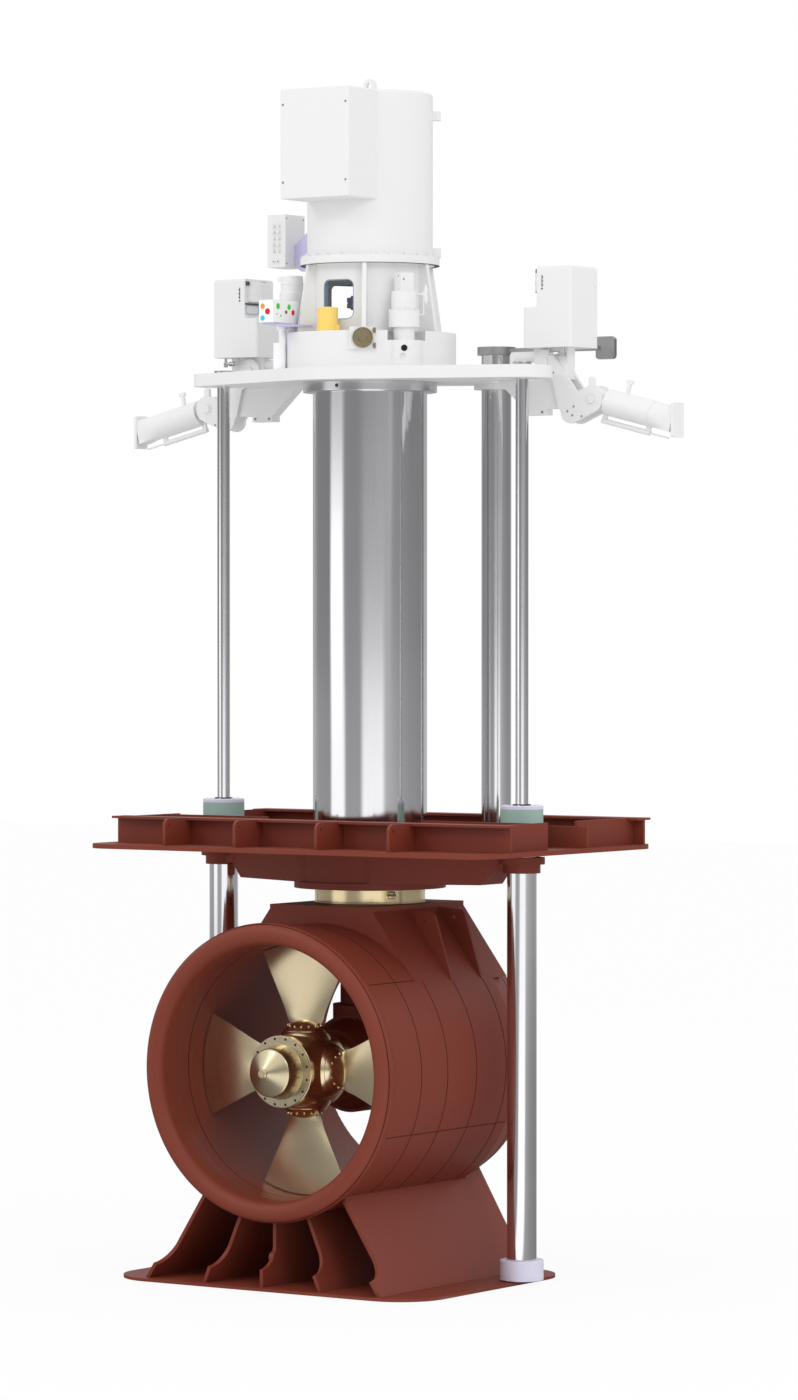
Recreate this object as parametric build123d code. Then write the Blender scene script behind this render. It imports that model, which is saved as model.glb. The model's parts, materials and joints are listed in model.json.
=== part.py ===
from build123d import *
from math import acos, atan2, cos, hypot, pi, radians, sin, tan
import os

# Retractable azimuth thruster, modelled in its raised position.
# Millimetres. Z up, origin on the azimuth axis in the underside of the foundation plate.
# The nozzle's mouth and the propeller's nose point to -Y.

# Clearances
FIT = 0.05
SEAT = 0.3
SWING_GAP = 5.0

# Foundation plate and its stiffeners
PLATE_LENGTH = 3200.0
PLATE_WIDTH = 2150.0
PLATE_CORNER = 200.0
PLATE_T = 30.0
GIRDER_HEIGHT = 176.0
GIRDER_WEB_T = 22.0
GIRDER_FLANGE_W = 158.0
GIRDER_FLANGE_T = 15.0
GIRDER_LENGTH = PLATE_LENGTH - 60.0
FRONT_GIRDER_Y = 385.0 - PLATE_WIDTH / 2
REAR_GIRDER_Y = PLATE_WIDTH / 2 - 149.0
SIDE_GIRDER_X = PLATE_LENGTH / 2 - 120.0
SIDE_GIRDER_END_Y = -134.0
LOW_GIRDER_Y = 222.0
LOW_GIRDER_HEIGHT = 140.0
LOW_GIRDER_LENGTH = 400.0
MIDDLE_GIRDER_Y = -295.0
MIDDLE_GIRDER_LENGTH = 950.0
RIB_T = 22.0
RIB_FRONT_Y = 70.0 - PLATE_WIDTH / 2
RIB_CORNER = 45.0
RIB_HOLE_R = 10.0
FRONT_RIB_XS = (-960.0, -390.0, 262.0, 830.0)
REAR_RIB_XS = (-900.0, -300.0, 300.0, 900.0)

# Stem, the big tube that slides through the foundation plate
STEM_R = 379.0
STEM_WALL = 39.0
STEM_HOLE_R = 400.0
SEAL_RING_R = 440.0
SEAL_RING_H = 120.0

# Lifting cylinders
LIFT_STROKE = 2420.0
CYLINDER_X = 1203.0
BARREL_R = 97.0
BARREL_BORE_R = 70.0
ROD_R = 42.5
PISTON_H = 100.0
PISTON_TOP_Z = -60.0
GLAND_R = 140.0
GLAND_TOP_Z = 285.0
GLAND_SOCKET = 60.0
GLAND_RING_H = 23.0
GLAND_RING_BORE_R = 60.0
FOOT_CAP_R = 143.0
FOOT_CAP_H = 133.0
FOOT_SOCKET = 100.0
ROD_NUT_R = 62.0
ROD_NUT_H = 26.0

# Guide column that keeps the carriage from turning
COLUMN_X = 530.0
COLUMN_Y = 725.0
COLUMN_R = 100.0
COLUMN_FLANGE_R = 180.0
COLUMN_FLANGE_H = 40.0
COLUMN_HEAD_R = 128.0
COLUMN_HEAD_H = 54.0
COLUMN_HEAD_Z = 3290.0
STAY_BAR_W = 70.0
STAY_BAR_T = 30.0
STAY_PLATE_X0 = 1323.0
STAY_PLATE_LENGTH = 146.0
STAY_PLATE_H = 150.0
STAY_PLATE_T = 30.0
STAY_PLATE_CORNER = 25.0
BUSH_R = 150.0
BUSH_H = 155.0

# Carriage plate and stem collar
CARRIAGE_Z = 3095.0
CARRIAGE_T = 83.0
CARRIAGE_DISC_R = 620.0
CARRIAGE_LOBE_R = 200.0
COLUMN_LOBE_R = 190.0
COLLAR_R = 445.0
COLLAR_H = 68.0
COLLAR_HOLE_R = 12.0
CARRIAGE_BORE_R = 310.0

# Lower guide arm, below the foundation plate
ARM_TOP_Z = -25.0
ARM_DEPTH = 190.0
ARM_HUB_R = 480.0
ARM_HUB_BASE_R = 505.0
ARM_HUB_BASE_H = 43.0
ARM_HUB_LIP_R = 330.0
ARM_ROOT_Y = 417.0
ARM_ROOT_X = 285.0
ARM_TIP_X = 1060.0
ARM_TIP_Y = 95.0
ARM_CHAMFER = 95.0
GUIDE_FLANGE_R = 151.0
GUIDE_FLANGE_H = 45.0
GUIDE_RING_R = 122.0
GUIDE_RING_H = 103.0
GUIDE_RING_DROP = 5.0

# Steering housing, ring gear and pinions
HOUSING_R = 572.0
HOUSING_H = 237.0
HOUSING_ROOF_T = 20.0
HOUSING_FLOOR_T = 20.0
GEAR_MODULE = 10.0
RING_TEETH = 90
PINION_TEETH = 14
GEAR_WIDTH = 90.0
GEAR_Z = 3230.0
LOBE_R = 120.0
LOBE_H = 172.0
LOBE_RECESS_R = 142.0
PINION_POCKET_R = 90.0
RING_POCKET_R = 478.0
PINION_SHAFT_R = 30.0
STEERING_ANGLES = (-30.0, 90.0, 210.0)
PINION_RADIUS = GEAR_MODULE * (RING_TEETH + PINION_TEETH) / 2
LOBE_PLUG_R = 20.0

# Steering motors, from the lobe upwards
MOTOR_NECK_R = 70.0
MOTOR_NECK_H = 86.0
MOTOR_COLLAR_R = 101.0
MOTOR_COLLAR_H = 110.0
MOTOR_BARREL_R = 84.0
MOTOR_BARREL_H = 126.0
MOTOR_BLOCK_W = 94.0
MOTOR_BLOCK_H = 122.0

# Fittings on the steering housing
FILLER_R = 68.0
FILLER_H = 155.0
FILLER_Y = -492.0
COVER_ANGLE = -60.0
COVER_R = 68.0
COVER_T = 22.0
COVER_SEAT_W = 176.0
COVER_SEAT_H = 144.0
COVER_SEAT_Z = 3292.0
COVER_SEAT_OUT = 24.0
COVER_BOLT_COUNT = 6

# Lantern between the steering housing and the motor
LANTERN_R = 400.0
LANTERN_WALL = 40.0
LANTERN_TOP_Z = 3866.0
LANTERN_ROOF_T = 24.0
LANTERN_RIBS = 6
LANTERN_RIB_T = 28.0
LANTERN_RIB_TOP_R = 458.0
LANTERN_RIB_FOOT_R = 530.0
WINDOW_ANGLES = (-88.0, 32.0, 152.0)
WINDOW_W = 236.0
WINDOW_H = 265.0
WINDOW_Z = 3496.0
WINDOW_CORNER = 45.0

# Electric motor
MOTOR_FLANGE_R = 462.0
MOTOR_FLANGE_H = 54.0
MOTOR_R = 417.0
MOTOR_WALL = 25.0
MOTOR_TOP_Z = 5006.0
MOTOR_EDGE = 22.0
STATOR_BORE_R = 250.0
STATOR_RISE = 230.0
STATOR_H = 600.0
ROTOR_GAP = 6.0
LUG_W = 93.0
LUG_H = 101.0
LUG_T = 30.0
LUG_HOLE_R = 22.0
SIDE_LUG_ANGLE = 34.5
SIDE_LUG_OUT = 55.0
SIDE_LUG_W = 56.0
SIDE_LUG_H = 60.0
SIDE_LUG_ZS = (4832.0, 3925.0)

# Terminal box on the motor
TERMINAL_W = 545.0
TERMINAL_FRONT_Y = -645.0
TERMINAL_BACK_Y = -425.0
TERMINAL_Z = LANTERN_TOP_Z + 415.0
TERMINAL_H = 722.0
TERMINAL_EDGE = 14.0
TERMINAL_COVER_T = 18.0

# Junction box with cable glands
JUNCTION_X0 = -765.0
JUNCTION_X1 = -618.0
JUNCTION_Y0 = -100.0
JUNCTION_Y1 = 124.0
JUNCTION_Z = LANTERN_TOP_Z + 13.0
JUNCTION_H = 352.0
JUNCTION_COVER_T = 10.0
JUNCTION_GLAND_R = 11.0
JUNCTION_GLAND_H = 12.0
JUNCTION_GLAND_COUNT = 5
JUNCTION_GLAND_PITCH_X = 40.0
JUNCTION_GLAND_PITCH_Z = 42.0
JUNCTION_GLAND_Z = JUNCTION_Z + 111.0
BRACKET_T = 14.0

# Control box with indicator lamps
CONTROL_X = -365.0
CONTROL_Y = -530.0
CONTROL_W = 113.0
CONTROL_D = 302.0
CONTROL_Z = 3477.0
CONTROL_H = 147.0
LAMP_R = 15.0
LAMP_H = 5.0
SHELF_T = 14.0
SHELF_LEG_Y = -337.0
SHELF_LEG_X0 = -322.0
SHELF_LEG_X1 = -268.0
POST_X = -390.0
POST_Y = -456.0
POST_R = 22.0
PEDESTAL_X = -408.0
PEDESTAL_Y = -462.0
PEDESTAL_R = 42.0
PEDESTAL_H = 172.0

# Enclosures over the locking frames
ENCLOSURE_X0 = 1072.0
ENCLOSURE_X1 = 1446.0
ENCLOSURE_Y0 = 212.0
ENCLOSURE_Y1 = 546.0
ENCLOSURE_Z = 3304.0
ENCLOSURE_H = 533.0
ENCLOSURE_EDGE = 20.0
NOTCH_W = 108.0
NOTCH_H = 268.0
NOTCH_CORNER = 24.0
UNIT_T = 16.0
UNIT_W = 236.0
UNIT_H = 84.0
UNIT_RISE = 118.0

# Locking frames, struts and feet
LOCK_Y = 355.0
LOCK_GAP = 90.0
LOCK_PLATE_T = 25.0
KNUCKLE_X = 1555.0
KNUCKLE_Z = 2962.0
KNUCKLE_R = 88.0
DOME_X = 1195.0
DOME_Z = 3214.0
DOME_R = 80.0
NECK_X = 1258.0
WAIST_X = 1297.0
WAIST_Z = 2917.0
VERTEX_X = 1395.0
VERTEX_Z = 2880.0
VERTEX_R = 75.0
CROOK_X = 1441.0
CROOK_Z = 3012.0
LOCK_BOX_X0 = 811.0
LOCK_BOX_X1 = 1300.0
LOCK_BOX_Z = 2905.0
LOCK_BOX_FOOT_X = 1020.0
LOCK_BLOCK_LENGTH = 165.0
LOCK_BLOCK_H = 40.0
LOCK_CORE_X0 = 1095.0
LOCK_CORE_X1 = 1358.0
PUSHER_X = 900.0
PUSHER_R = 36.0
PUSHER_Z = 3250.0
PUSHER_FOOT = 46.0
KNUCKLE_PIN_R = 30.0
KNUCKLE_LUG_W = 42.0
KNUCKLE_LUG_H = 36.0
STRUT_SLOPE = -13.8
STRUT_R = 87.0
STRUT_START = 98.0
STRUT_END = 455.0
STRUT_BORE_R = 60.0
STRUT_HOOK_AT = 225.0
STRUT_HOOK_H = 88.0
SENSOR_R = 17.0
SENSOR_DROP = 126.0
SENSOR_START = 75.0
SENSOR_END = 452.0
SENSOR_ROD_R = 6.0
SENSOR_ROD_END = 600.0
FOOT_PLATE_AT = 622.0
FOOT_PLATE_T = 22.0
FOOT_PLATE_H = 226.0
FOOT_PLATE_W = 128.0
FOOT_NECK_H = 166.0
FOOT_STROKE = 80.0
PLUNGER_LENGTH = 190.0

# Azimuth body: tube, ring, nozzle with its head box, legs and closing plate
AZIMUTH_TUBE_R = 300.0
AZIMUTH_TUBE_WALL = 40.0
AZIMUTH_RING_R = 367.0
HEAD_TOP_Z = -358.0
HEAD_X = 411.0
HEAD_FRONT_Y = -570.0
HEAD_REAR_Y = 506.0
HEAD_PLATE_T = 30.0
HEAD_WALL_T = 25.0
HEAD_RISE = 85.0
GUSSET_T = 20.0
GUSSET_YS = (-152.0, 199.0)
GUSSET_OUT = 200.0
GUSSET_DROP = 12.0
GUSSET_CORNER = 45.0
GUSSET_HOLE_R = 12.0
GUSSET_HOLE_IN = 72.0
GUSSET_HOLE_DROP = 62.0
NOZZLE_R = 945.0
NOZZLE_Z = HEAD_TOP_Z - HEAD_PLATE_T - HEAD_RISE - NOZZLE_R
NOZZLE_WALL = 113.0
NOZZLE_FRONT_Y = -1222.0
NOZZLE_REAR_Y = 660.0
THROAT_R = NOZZLE_R - NOZZLE_WALL
THROAT_LENGTH = 520.0
LIP_R = 70.0
LIP_PROUD = 30.0
TAPER_Y = 330.0
TAIL_R = NOZZLE_R - 87.0
EXIT_R = THROAT_R + 4.0
TAIL_EDGE = 12.0
CLOSING_Z = NOZZLE_Z - NOZZLE_R - 455.0
CLOSING_T = 20.0
CLOSING_X = 1236.0
CLOSING_FRONT_Y = -1303.0
CLOSING_REAR_Y = 590.0
CLOSING_CORNER = 330.0
LEG_T = 25.0
LEG_TOP_XS = (0.0, NOZZLE_R * 0.272, NOZZLE_R * 0.563)
LEG_FOOT_XS = (0.0, 459.0, 918.0)
LEG_FRONT_Y = -1095.0
LEG_REAR_TOP_Y = 560.0
LEG_REAR_FOOT_Y = 487.0
TOE_Y = -1243.0
TOE_H = 112.0
TOE_CURVE_H = 245.0
LEG_BOSS_R = 40.0
LEG_BOSS_H = 178.0
LEG_BOSS_OUT = 18.0

# Strut leg and gearhouse
LEG_TUBE_R = 197.0
LEG_TUBE_BORE_R = 130.0
LEG_FLANGE_R = 247.0
LEG_FLANGE_Z = NOZZLE_Z + 336.0
LEG_FLANGE_H = 48.0
GEARHOUSE_R = 322.0
GEARHOUSE_BORE_R = 288.0
GEARHOUSE_FRONT_Y = -246.0
GEARHOUSE_REAR_Y = 330.0
GEARHOUSE_TAIL = 190.0
FRONT_COVER_R = 235.0
FRONT_COVER_Y = -425.0
COVER_SCREW_COUNT = 16
COVER_SCREW_R = 11.0

# Bevel gears
CROWN_TEETH = 35
BEVEL_TEETH = 14
BEVEL_MODULE = 14.0
BEVEL_SHRINK = 0.74

# Shafts
DRIVE_R = 60.0
COUPLING_R = 153.0
COUPLING_H = 65.0
COUPLING_Z = 3590.0
COUPLING_BOLT_COUNT = 8
PROP_SHAFT_R = 75.0
BEARING_H = 60.0

# Propeller
PROP_Y = -745.0
TIP_GAP = 10.0
PROP_R = THROAT_R - TIP_GAP
HUB_R = 285.0
HUB_REAR_Y = -440.0
HUB_REAR_R = 238.0
HUB_FRONT_Y = -975.0
HUB_FRONT_R = 237.0
HUB_FLANGE_T = 34.0
PORT_R = 150.0
PORT_TOP = 312.0
BLADE_FLANGE_R = 126.5
BLADE_FLANGE_FLOOR = 282.0
BLADE_FLANGE_TOP = 327.0
BLADE_SPIGOT_R = 60.0
BLADE_SPIGOT_DEPTH = 80.0
BLADE_COUNT = 4
BLADE_BOLT_COUNT = 8
BLADE_BOLT_R = 11.0
BLADE_BOLT_H = 9.0
BLADE_ROOT_CHORD = 284.0
BLADE_TIP_CHORD = 722.0
BLADE_ROOT_T = 74.0
BLADE_TIP_T = 16.0
BLADE_ROOT_PITCH = 8.0
BLADE_TIP_PITCH = 2.0
BLADE_CAMBER = 0.25
NOSE_RING_R = 156.0
NOSE_RING_END_Y = -1085.0
NOSE_CONE_R = 140.0
NOSE_TIP_R = 22.0
NOSE_TIP_Y = -1237.0
NOSE_SCREW_COUNT = 16
NOSE_SCREW_R = 6.0

# Levels that follow from the sizes above
PLATE_TOP = PLATE_T
GIRDER_TOP = PLATE_TOP + GIRDER_HEIGHT
CARRIAGE_TOP = CARRIAGE_Z + CARRIAGE_T
COLLAR_Z = CARRIAGE_Z - COLLAR_H
ARM_BOTTOM_Z = ARM_TOP_Z - ARM_DEPTH
HUB_BOTTOM_Z = ARM_BOTTOM_Z - ARM_HUB_BASE_H
HOUSING_TOP = CARRIAGE_TOP + HOUSING_H
LOBE_TOP = CARRIAGE_TOP + LOBE_H
CLOSING_TOP = CLOSING_Z + CLOSING_T
FOOT_CAP_Z = CLOSING_TOP + SWING_GAP
FOOT_CAP_TOP = FOOT_CAP_Z + FOOT_CAP_H
HEAD_PLATE_Z = HEAD_TOP_Z - HEAD_PLATE_T
MOTOR_Z = LANTERN_TOP_Z + MOTOR_FLANGE_H
STATOR_Z = MOTOR_Z + STATOR_RISE
HUB_CENTRE = (0.0, PROP_Y, NOZZLE_Z)


def upright(radius, low, high, x=0.0, y=0.0):
    """A cylinder along Z from one level to another."""
    return Pos(x, y, (low + high) / 2) * Cylinder(radius, high - low)


def lengthways(radius, rear, front, x=0.0, z=0.0):
    """A cylinder along Y from one station to another."""
    return Pos(x, (rear + front) / 2, z) * Rot(90, 0, 0) * Cylinder(radius, abs(front - rear))


def crossways(radius, left, right, y=0.0, z=0.0):
    """A cylinder along X from one station to another."""
    return Pos((left + right) / 2, y, z) * Rot(0, 90, 0) * Cylinder(radius, right - left)


def block(x0, x1, y0, y1, z0, z1):
    """A box between two corners."""
    middle = Pos((x0 + x1) / 2, (y0 + y1) / 2, (z0 + z1) / 2)
    return middle * Box(x1 - x0, y1 - y0, z1 - z0)


def sleeve(outer, inner, low, high, x=0.0, y=0.0):
    """An upright tube."""
    return upright(outer, low, high, x, y) - upright(inner, low - 1, high + 1, x, y)


def side_profile(points, y0, y1):
    """A closed outline in X and Z, extruded from y0 to y1."""
    wire = Polyline(*[(x, y0, z) for x, z in points], close=True)
    return extrude(make_face(wire), amount=y1 - y0, dir=(0, 1, 0))


def polar(radius, angle):
    """X and Y of a point at a radius and an angle in degrees."""
    return radius * cos(radians(angle)), radius * sin(radians(angle))


def mirrored(solid):
    """The same piece on the other side of the YZ plane."""
    return mirror(solid, about=Plane.YZ)


def both_sides(solid):
    """A piece and its mirror image as two solids of one group."""
    return Compound(children=[solid, mirrored(solid)])


def save(node, shape):
    """Write one sub-part to its own file."""
    shape.label = node
    export_step(shape, f"parts/{node}.step")


# Foundation


def foundation_plate():
    plate = extrude(RectangleRounded(PLATE_LENGTH, PLATE_WIDTH, PLATE_CORNER), amount=PLATE_T)
    plate -= upright(STEM_HOLE_R, -1, PLATE_TOP + 1)
    for side in (-1, 1):
        plate -= upright(BARREL_R + SEAT, -1, PLATE_TOP + 1, side * CYLINDER_X)
    return plate


def girder(x0, x1, y, height, flanged=True):
    """A web along X on the foundation plate, with a top flange if it has one."""
    web = block(x0, x1, y - GIRDER_WEB_T / 2, y + GIRDER_WEB_T / 2, PLATE_TOP, PLATE_TOP + height)
    if flanged:
        top = PLATE_TOP + height
        half = GIRDER_FLANGE_W / 2
        web += block(x0, x1, y - half, y + half, top - GIRDER_FLANGE_T, top)
    return web


def rib(x, y0, y1, open_end):
    """A stiffener along Y whose open end has a rounded top corner and a small hole."""
    low, high = sorted((y0, y1))
    plate = block(x - RIB_T / 2, x + RIB_T / 2, low, high, PLATE_TOP, GIRDER_TOP)
    corner = plate.edges().filter_by(Axis.X).group_by(Axis.Z)[-1].sort_by(Axis.Y)
    plate = fillet(corner[0] if open_end < 0 else corner[-1], RIB_CORNER)
    hole_y = low + RIB_CORNER if open_end < 0 else high - RIB_CORNER
    hole = crossways(RIB_HOLE_R, x - RIB_T, x + RIB_T, hole_y, GIRDER_TOP - RIB_CORNER)
    return plate - hole


def foundation_girders():
    half = GIRDER_LENGTH / 2
    frame = girder(-half, half, FRONT_GIRDER_Y, GIRDER_HEIGHT)
    frame += girder(-half, half, REAR_GIRDER_Y, GIRDER_HEIGHT)
    rear_end = PLATE_WIDTH / 2 - PLATE_CORNER / 8
    for side in (-1, 1):
        x = side * SIDE_GIRDER_X
        web_x0 = x - GIRDER_WEB_T / 2
        web_x1 = x + GIRDER_WEB_T / 2
        frame += block(web_x0, web_x1, FRONT_GIRDER_Y, SIDE_GIRDER_END_Y, PLATE_TOP, GIRDER_TOP)
        frame += block(web_x0, web_x1, LOW_GIRDER_Y, REAR_GIRDER_Y, PLATE_TOP, GIRDER_TOP)
        ends = sorted((side * (half - LOW_GIRDER_LENGTH), side * half))
        frame += girder(ends[0], ends[1], LOW_GIRDER_Y, LOW_GIRDER_HEIGHT, flanged=False)
        middle = sorted((side * (half - MIDDLE_GIRDER_LENGTH), side * (SIDE_GIRDER_X)))
        frame += girder(middle[0], middle[1], MIDDLE_GIRDER_Y, GIRDER_HEIGHT, flanged=False)
    for x in FRONT_RIB_XS:
        frame += rib(x, RIB_FRONT_Y, FRONT_GIRDER_Y, -1)
    for x in REAR_RIB_XS:
        frame += rib(x, REAR_GIRDER_Y, rear_end, 1)
    return frame


def stem_seal_ring():
    ring = sleeve(SEAL_RING_R, STEM_R + FIT, PLATE_TOP, PLATE_TOP + SEAL_RING_H)
    return ring


def lift_barrel():
    low = FOOT_CAP_TOP - FOOT_SOCKET
    high = PLATE_TOP + GLAND_SOCKET
    return sleeve(BARREL_R, BARREL_BORE_R, low, high, CYLINDER_X)


def barrel_gland():
    gland = upright(GLAND_R, PLATE_TOP, GLAND_TOP_Z, CYLINDER_X)
    gland -= upright(BARREL_R + SEAT, PLATE_TOP - 1, PLATE_TOP + GLAND_SOCKET, CYLINDER_X)
    gland -= upright(ROD_R + FIT, PLATE_TOP, GLAND_TOP_Z + 1, CYLINDER_X)
    return gland


def gland_ring():
    top = GLAND_TOP_Z + GLAND_RING_H
    ring = sleeve(GLAND_R, GLAND_RING_BORE_R, GLAND_TOP_Z, top, CYLINDER_X)
    rim = ring.edges().group_by(Axis.Z)[-1].sort_by(SortBy.LENGTH)[-1]
    return chamfer(rim, GLAND_RING_H / 6)


def barrel_foot_cap():
    cap = upright(FOOT_CAP_R, FOOT_CAP_Z, FOOT_CAP_TOP, CYLINDER_X)
    cap -= upright(BARREL_R + SEAT, FOOT_CAP_TOP - FOOT_SOCKET, FOOT_CAP_TOP + 1, CYLINDER_X)
    rims = cap.edges().filter_by(GeomType.CIRCLE).sort_by(SortBy.LENGTH)[-2:]
    return fillet(rims, FOOT_CAP_H / 22)


def guide_column():
    column = upright(COLUMN_R, PLATE_TOP, COLUMN_HEAD_Z, COLUMN_X, COLUMN_Y)
    column += upright(COLUMN_FLANGE_R, PLATE_TOP, PLATE_TOP + COLUMN_FLANGE_H, COLUMN_X, COLUMN_Y)
    return column


def column_head_stay():
    """The clamp on the column's head and the bar that ties it to the ship."""
    top = COLUMN_HEAD_Z + COLUMN_HEAD_H
    head = upright(COLUMN_HEAD_R, COLUMN_HEAD_Z, top, COLUMN_X, COLUMN_Y)
    bar_z = COLUMN_HEAD_Z + COLUMN_HEAD_H / 2
    bar = block(
        COLUMN_X,
        STAY_PLATE_X0 + STAY_PLATE_T,
        COLUMN_Y - STAY_BAR_W / 2,
        COLUMN_Y + STAY_BAR_W / 2,
        bar_z - STAY_BAR_T / 2,
        bar_z + STAY_BAR_T / 2,
    )
    plate_middle = (STAY_PLATE_X0 + STAY_PLATE_LENGTH / 2, COLUMN_Y, bar_z)
    outline = RectangleRounded(STAY_PLATE_LENGTH, STAY_PLATE_H, STAY_PLATE_CORNER)
    plate = extrude(Plane.XZ * outline, amount=STAY_PLATE_T / 2, both=True)
    return head + bar + Pos(*plate_middle) * plate


# Carriage


def carriage_outline():
    """Convex outline of the disc and its two lobes, with the column's lobe added."""
    disc = CenterArc((0, 0), CARRIAGE_DISC_R, 0, 360)
    lobes = [CenterArc((side * CYLINDER_X, 0), CARRIAGE_LOBE_R, 0, 360) for side in (-1, 1)]
    column = CenterArc((COLUMN_X, COLUMN_Y), COLUMN_LOBE_R, 0, 360)
    return make_hull([disc, *lobes]) + make_hull([disc, column])


def carriage_plate():
    plate = Pos(0, 0, CARRIAGE_Z) * extrude(carriage_outline(), amount=CARRIAGE_T)
    below, above = CARRIAGE_Z - 1, CARRIAGE_TOP + 1
    plate -= upright(CARRIAGE_BORE_R, below, above)
    plate -= upright(BUSH_R + SEAT, below, above, COLUMN_X, COLUMN_Y)
    for side in (-1, 1):
        plate -= upright(ROD_R + SEAT, below, above, side * CYLINDER_X)
    return plate


def stem_collar():
    collar = sleeve(COLLAR_R, CARRIAGE_BORE_R, COLLAR_Z, CARRIAGE_Z)
    collar -= upright(STEM_R + SEAT, COLLAR_Z - 1, COLLAR_Z + COLLAR_H / 2)
    hole = Rot(0, 0, -85) * crossways(COLLAR_HOLE_R, COLLAR_R - 15, COLLAR_R + 15)
    return collar - Pos(0, 0, COLLAR_Z + COLLAR_H / 2) * hole


def stem_tube():
    low = HUB_BOTTOM_Z + ARM_HUB_BASE_H / 2
    return sleeve(STEM_R, STEM_R - STEM_WALL, low, COLLAR_Z + COLLAR_H / 2)


def lower_guide_arm():
    """Hub on the stem's foot with two tapered arms whose rings ride on the barrels."""
    hub = upright(ARM_HUB_R, ARM_BOTTOM_Z, ARM_TOP_Z)
    hub += upright(ARM_HUB_BASE_R, HUB_BOTTOM_Z, ARM_BOTTOM_Z)
    plan = [
        (0, -ARM_ROOT_Y),
        (ARM_ROOT_X, -ARM_ROOT_Y),
        (ARM_TIP_X, -ARM_TIP_Y),
        (ARM_TIP_X + GUIDE_RING_R / 2, -ARM_TIP_Y),
        (ARM_TIP_X + GUIDE_RING_R / 2, ARM_TIP_Y),
        (ARM_TIP_X, ARM_TIP_Y),
        (ARM_ROOT_X, ARM_ROOT_Y),
        (0, ARM_ROOT_Y),
    ]
    arm = extrude(make_face(Polyline(*plan, close=True)), amount=ARM_DEPTH)
    side = [
        (-1, ARM_TOP_Z),
        (CYLINDER_X, ARM_TOP_Z),
        (CYLINDER_X, ARM_BOTTOM_Z + ARM_CHAMFER),
        (ARM_TIP_X, ARM_BOTTOM_Z + ARM_CHAMFER),
        (ARM_TIP_X - ARM_CHAMFER, ARM_BOTTOM_Z),
        (-1, ARM_BOTTOM_Z),
    ]
    arm = Pos(0, 0, ARM_BOTTOM_Z) * arm & side_profile(side, -ARM_ROOT_Y - 1, ARM_ROOT_Y + 1)
    flange_top = ARM_TOP_Z - GUIDE_RING_DROP
    flange_low = flange_top - GUIDE_FLANGE_H
    ring = upright(GUIDE_RING_R, flange_low - GUIDE_RING_H + GUIDE_FLANGE_H, flange_low, CYLINDER_X)
    ring += upright(GUIDE_FLANGE_R, flange_low, flange_top, CYLINDER_X)
    whole = hub + arm + ring + mirrored(arm + ring)
    for x in (-CYLINDER_X, CYLINDER_X):
        whole -= upright(BARREL_R + FIT, HUB_BOTTOM_Z, ARM_TOP_Z + 1, x)
    whole -= upright(ARM_HUB_LIP_R, HUB_BOTTOM_Z - 1, ARM_TOP_Z)
    whole -= upright(STEM_R + SEAT, HUB_BOTTOM_Z + ARM_HUB_BASE_H / 2, ARM_TOP_Z + 1)
    return whole


def piston_rod():
    """A rod with its piston in the barrel and a nut on the carriage plate."""
    rod = upright(ROD_R, PISTON_TOP_Z, CARRIAGE_TOP, CYLINDER_X)
    rod += upright(BARREL_BORE_R - FIT, PISTON_TOP_Z - PISTON_H, PISTON_TOP_Z, CYLINDER_X)
    return rod


def rod_nut():
    nut = upright(ROD_NUT_R, CARRIAGE_TOP, CARRIAGE_TOP + ROD_NUT_H, CYLINDER_X)
    rim = nut.edges().group_by(Axis.Z)[-1]
    return chamfer(rim, ROD_NUT_H / 3)


def column_bush():
    middle = CARRIAGE_Z + CARRIAGE_T / 2
    low, high = middle - BUSH_H / 2, middle + BUSH_H / 2
    return sleeve(BUSH_R, COLUMN_R + FIT, low, high, COLUMN_X, COLUMN_Y)


def steering_housing():
    """Drum over the ring gear, with a lobe and a recess for each steering motor."""
    drum = upright(HOUSING_R, CARRIAGE_TOP, HOUSING_TOP)
    seat = block(
        LANTERN_RIB_FOOT_R + SEAT,
        HOUSING_R + COVER_SEAT_OUT,
        -COVER_SEAT_W / 2,
        COVER_SEAT_W / 2,
        COVER_SEAT_Z,
        COVER_SEAT_Z + COVER_SEAT_H,
    )
    drum += Rot(0, 0, COVER_ANGLE) * seat
    for angle in STEERING_ANGLES:
        x, y = polar(PINION_RADIUS, angle)
        drum -= upright(LOBE_RECESS_R, LOBE_TOP, HOUSING_TOP + 1, x, y)
        drum += upright(LOBE_R, CARRIAGE_TOP, LOBE_TOP, x, y)
    floor = CARRIAGE_TOP + HOUSING_FLOOR_T
    roof = LOBE_TOP - HOUSING_ROOF_T
    drum -= upright(CARRIAGE_BORE_R, CARRIAGE_TOP - 1, floor + 1)
    drum -= upright(RING_POCKET_R, floor, roof)
    for angle in STEERING_ANGLES:
        x, y = polar(PINION_RADIUS, angle)
        drum -= upright(PINION_POCKET_R, floor, roof, x, y)
        drum -= upright(PINION_SHAFT_R + FIT, roof - 1, LOBE_TOP + 1, x, y)
        facing = COVER_ANGLE if x > 0 else 180 - COVER_ANGLE
        plug = Rot(0, 0, facing) * crossways(LOBE_PLUG_R, LOBE_R - 12, LOBE_R + 20)
        drum -= Pos(x, y, (CARRIAGE_TOP + LOBE_TOP) / 2 - LOBE_PLUG_R) * plug
    return drum - upright(DRIVE_R + SEAT, roof - 1, HOUSING_TOP + 1)


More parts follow.
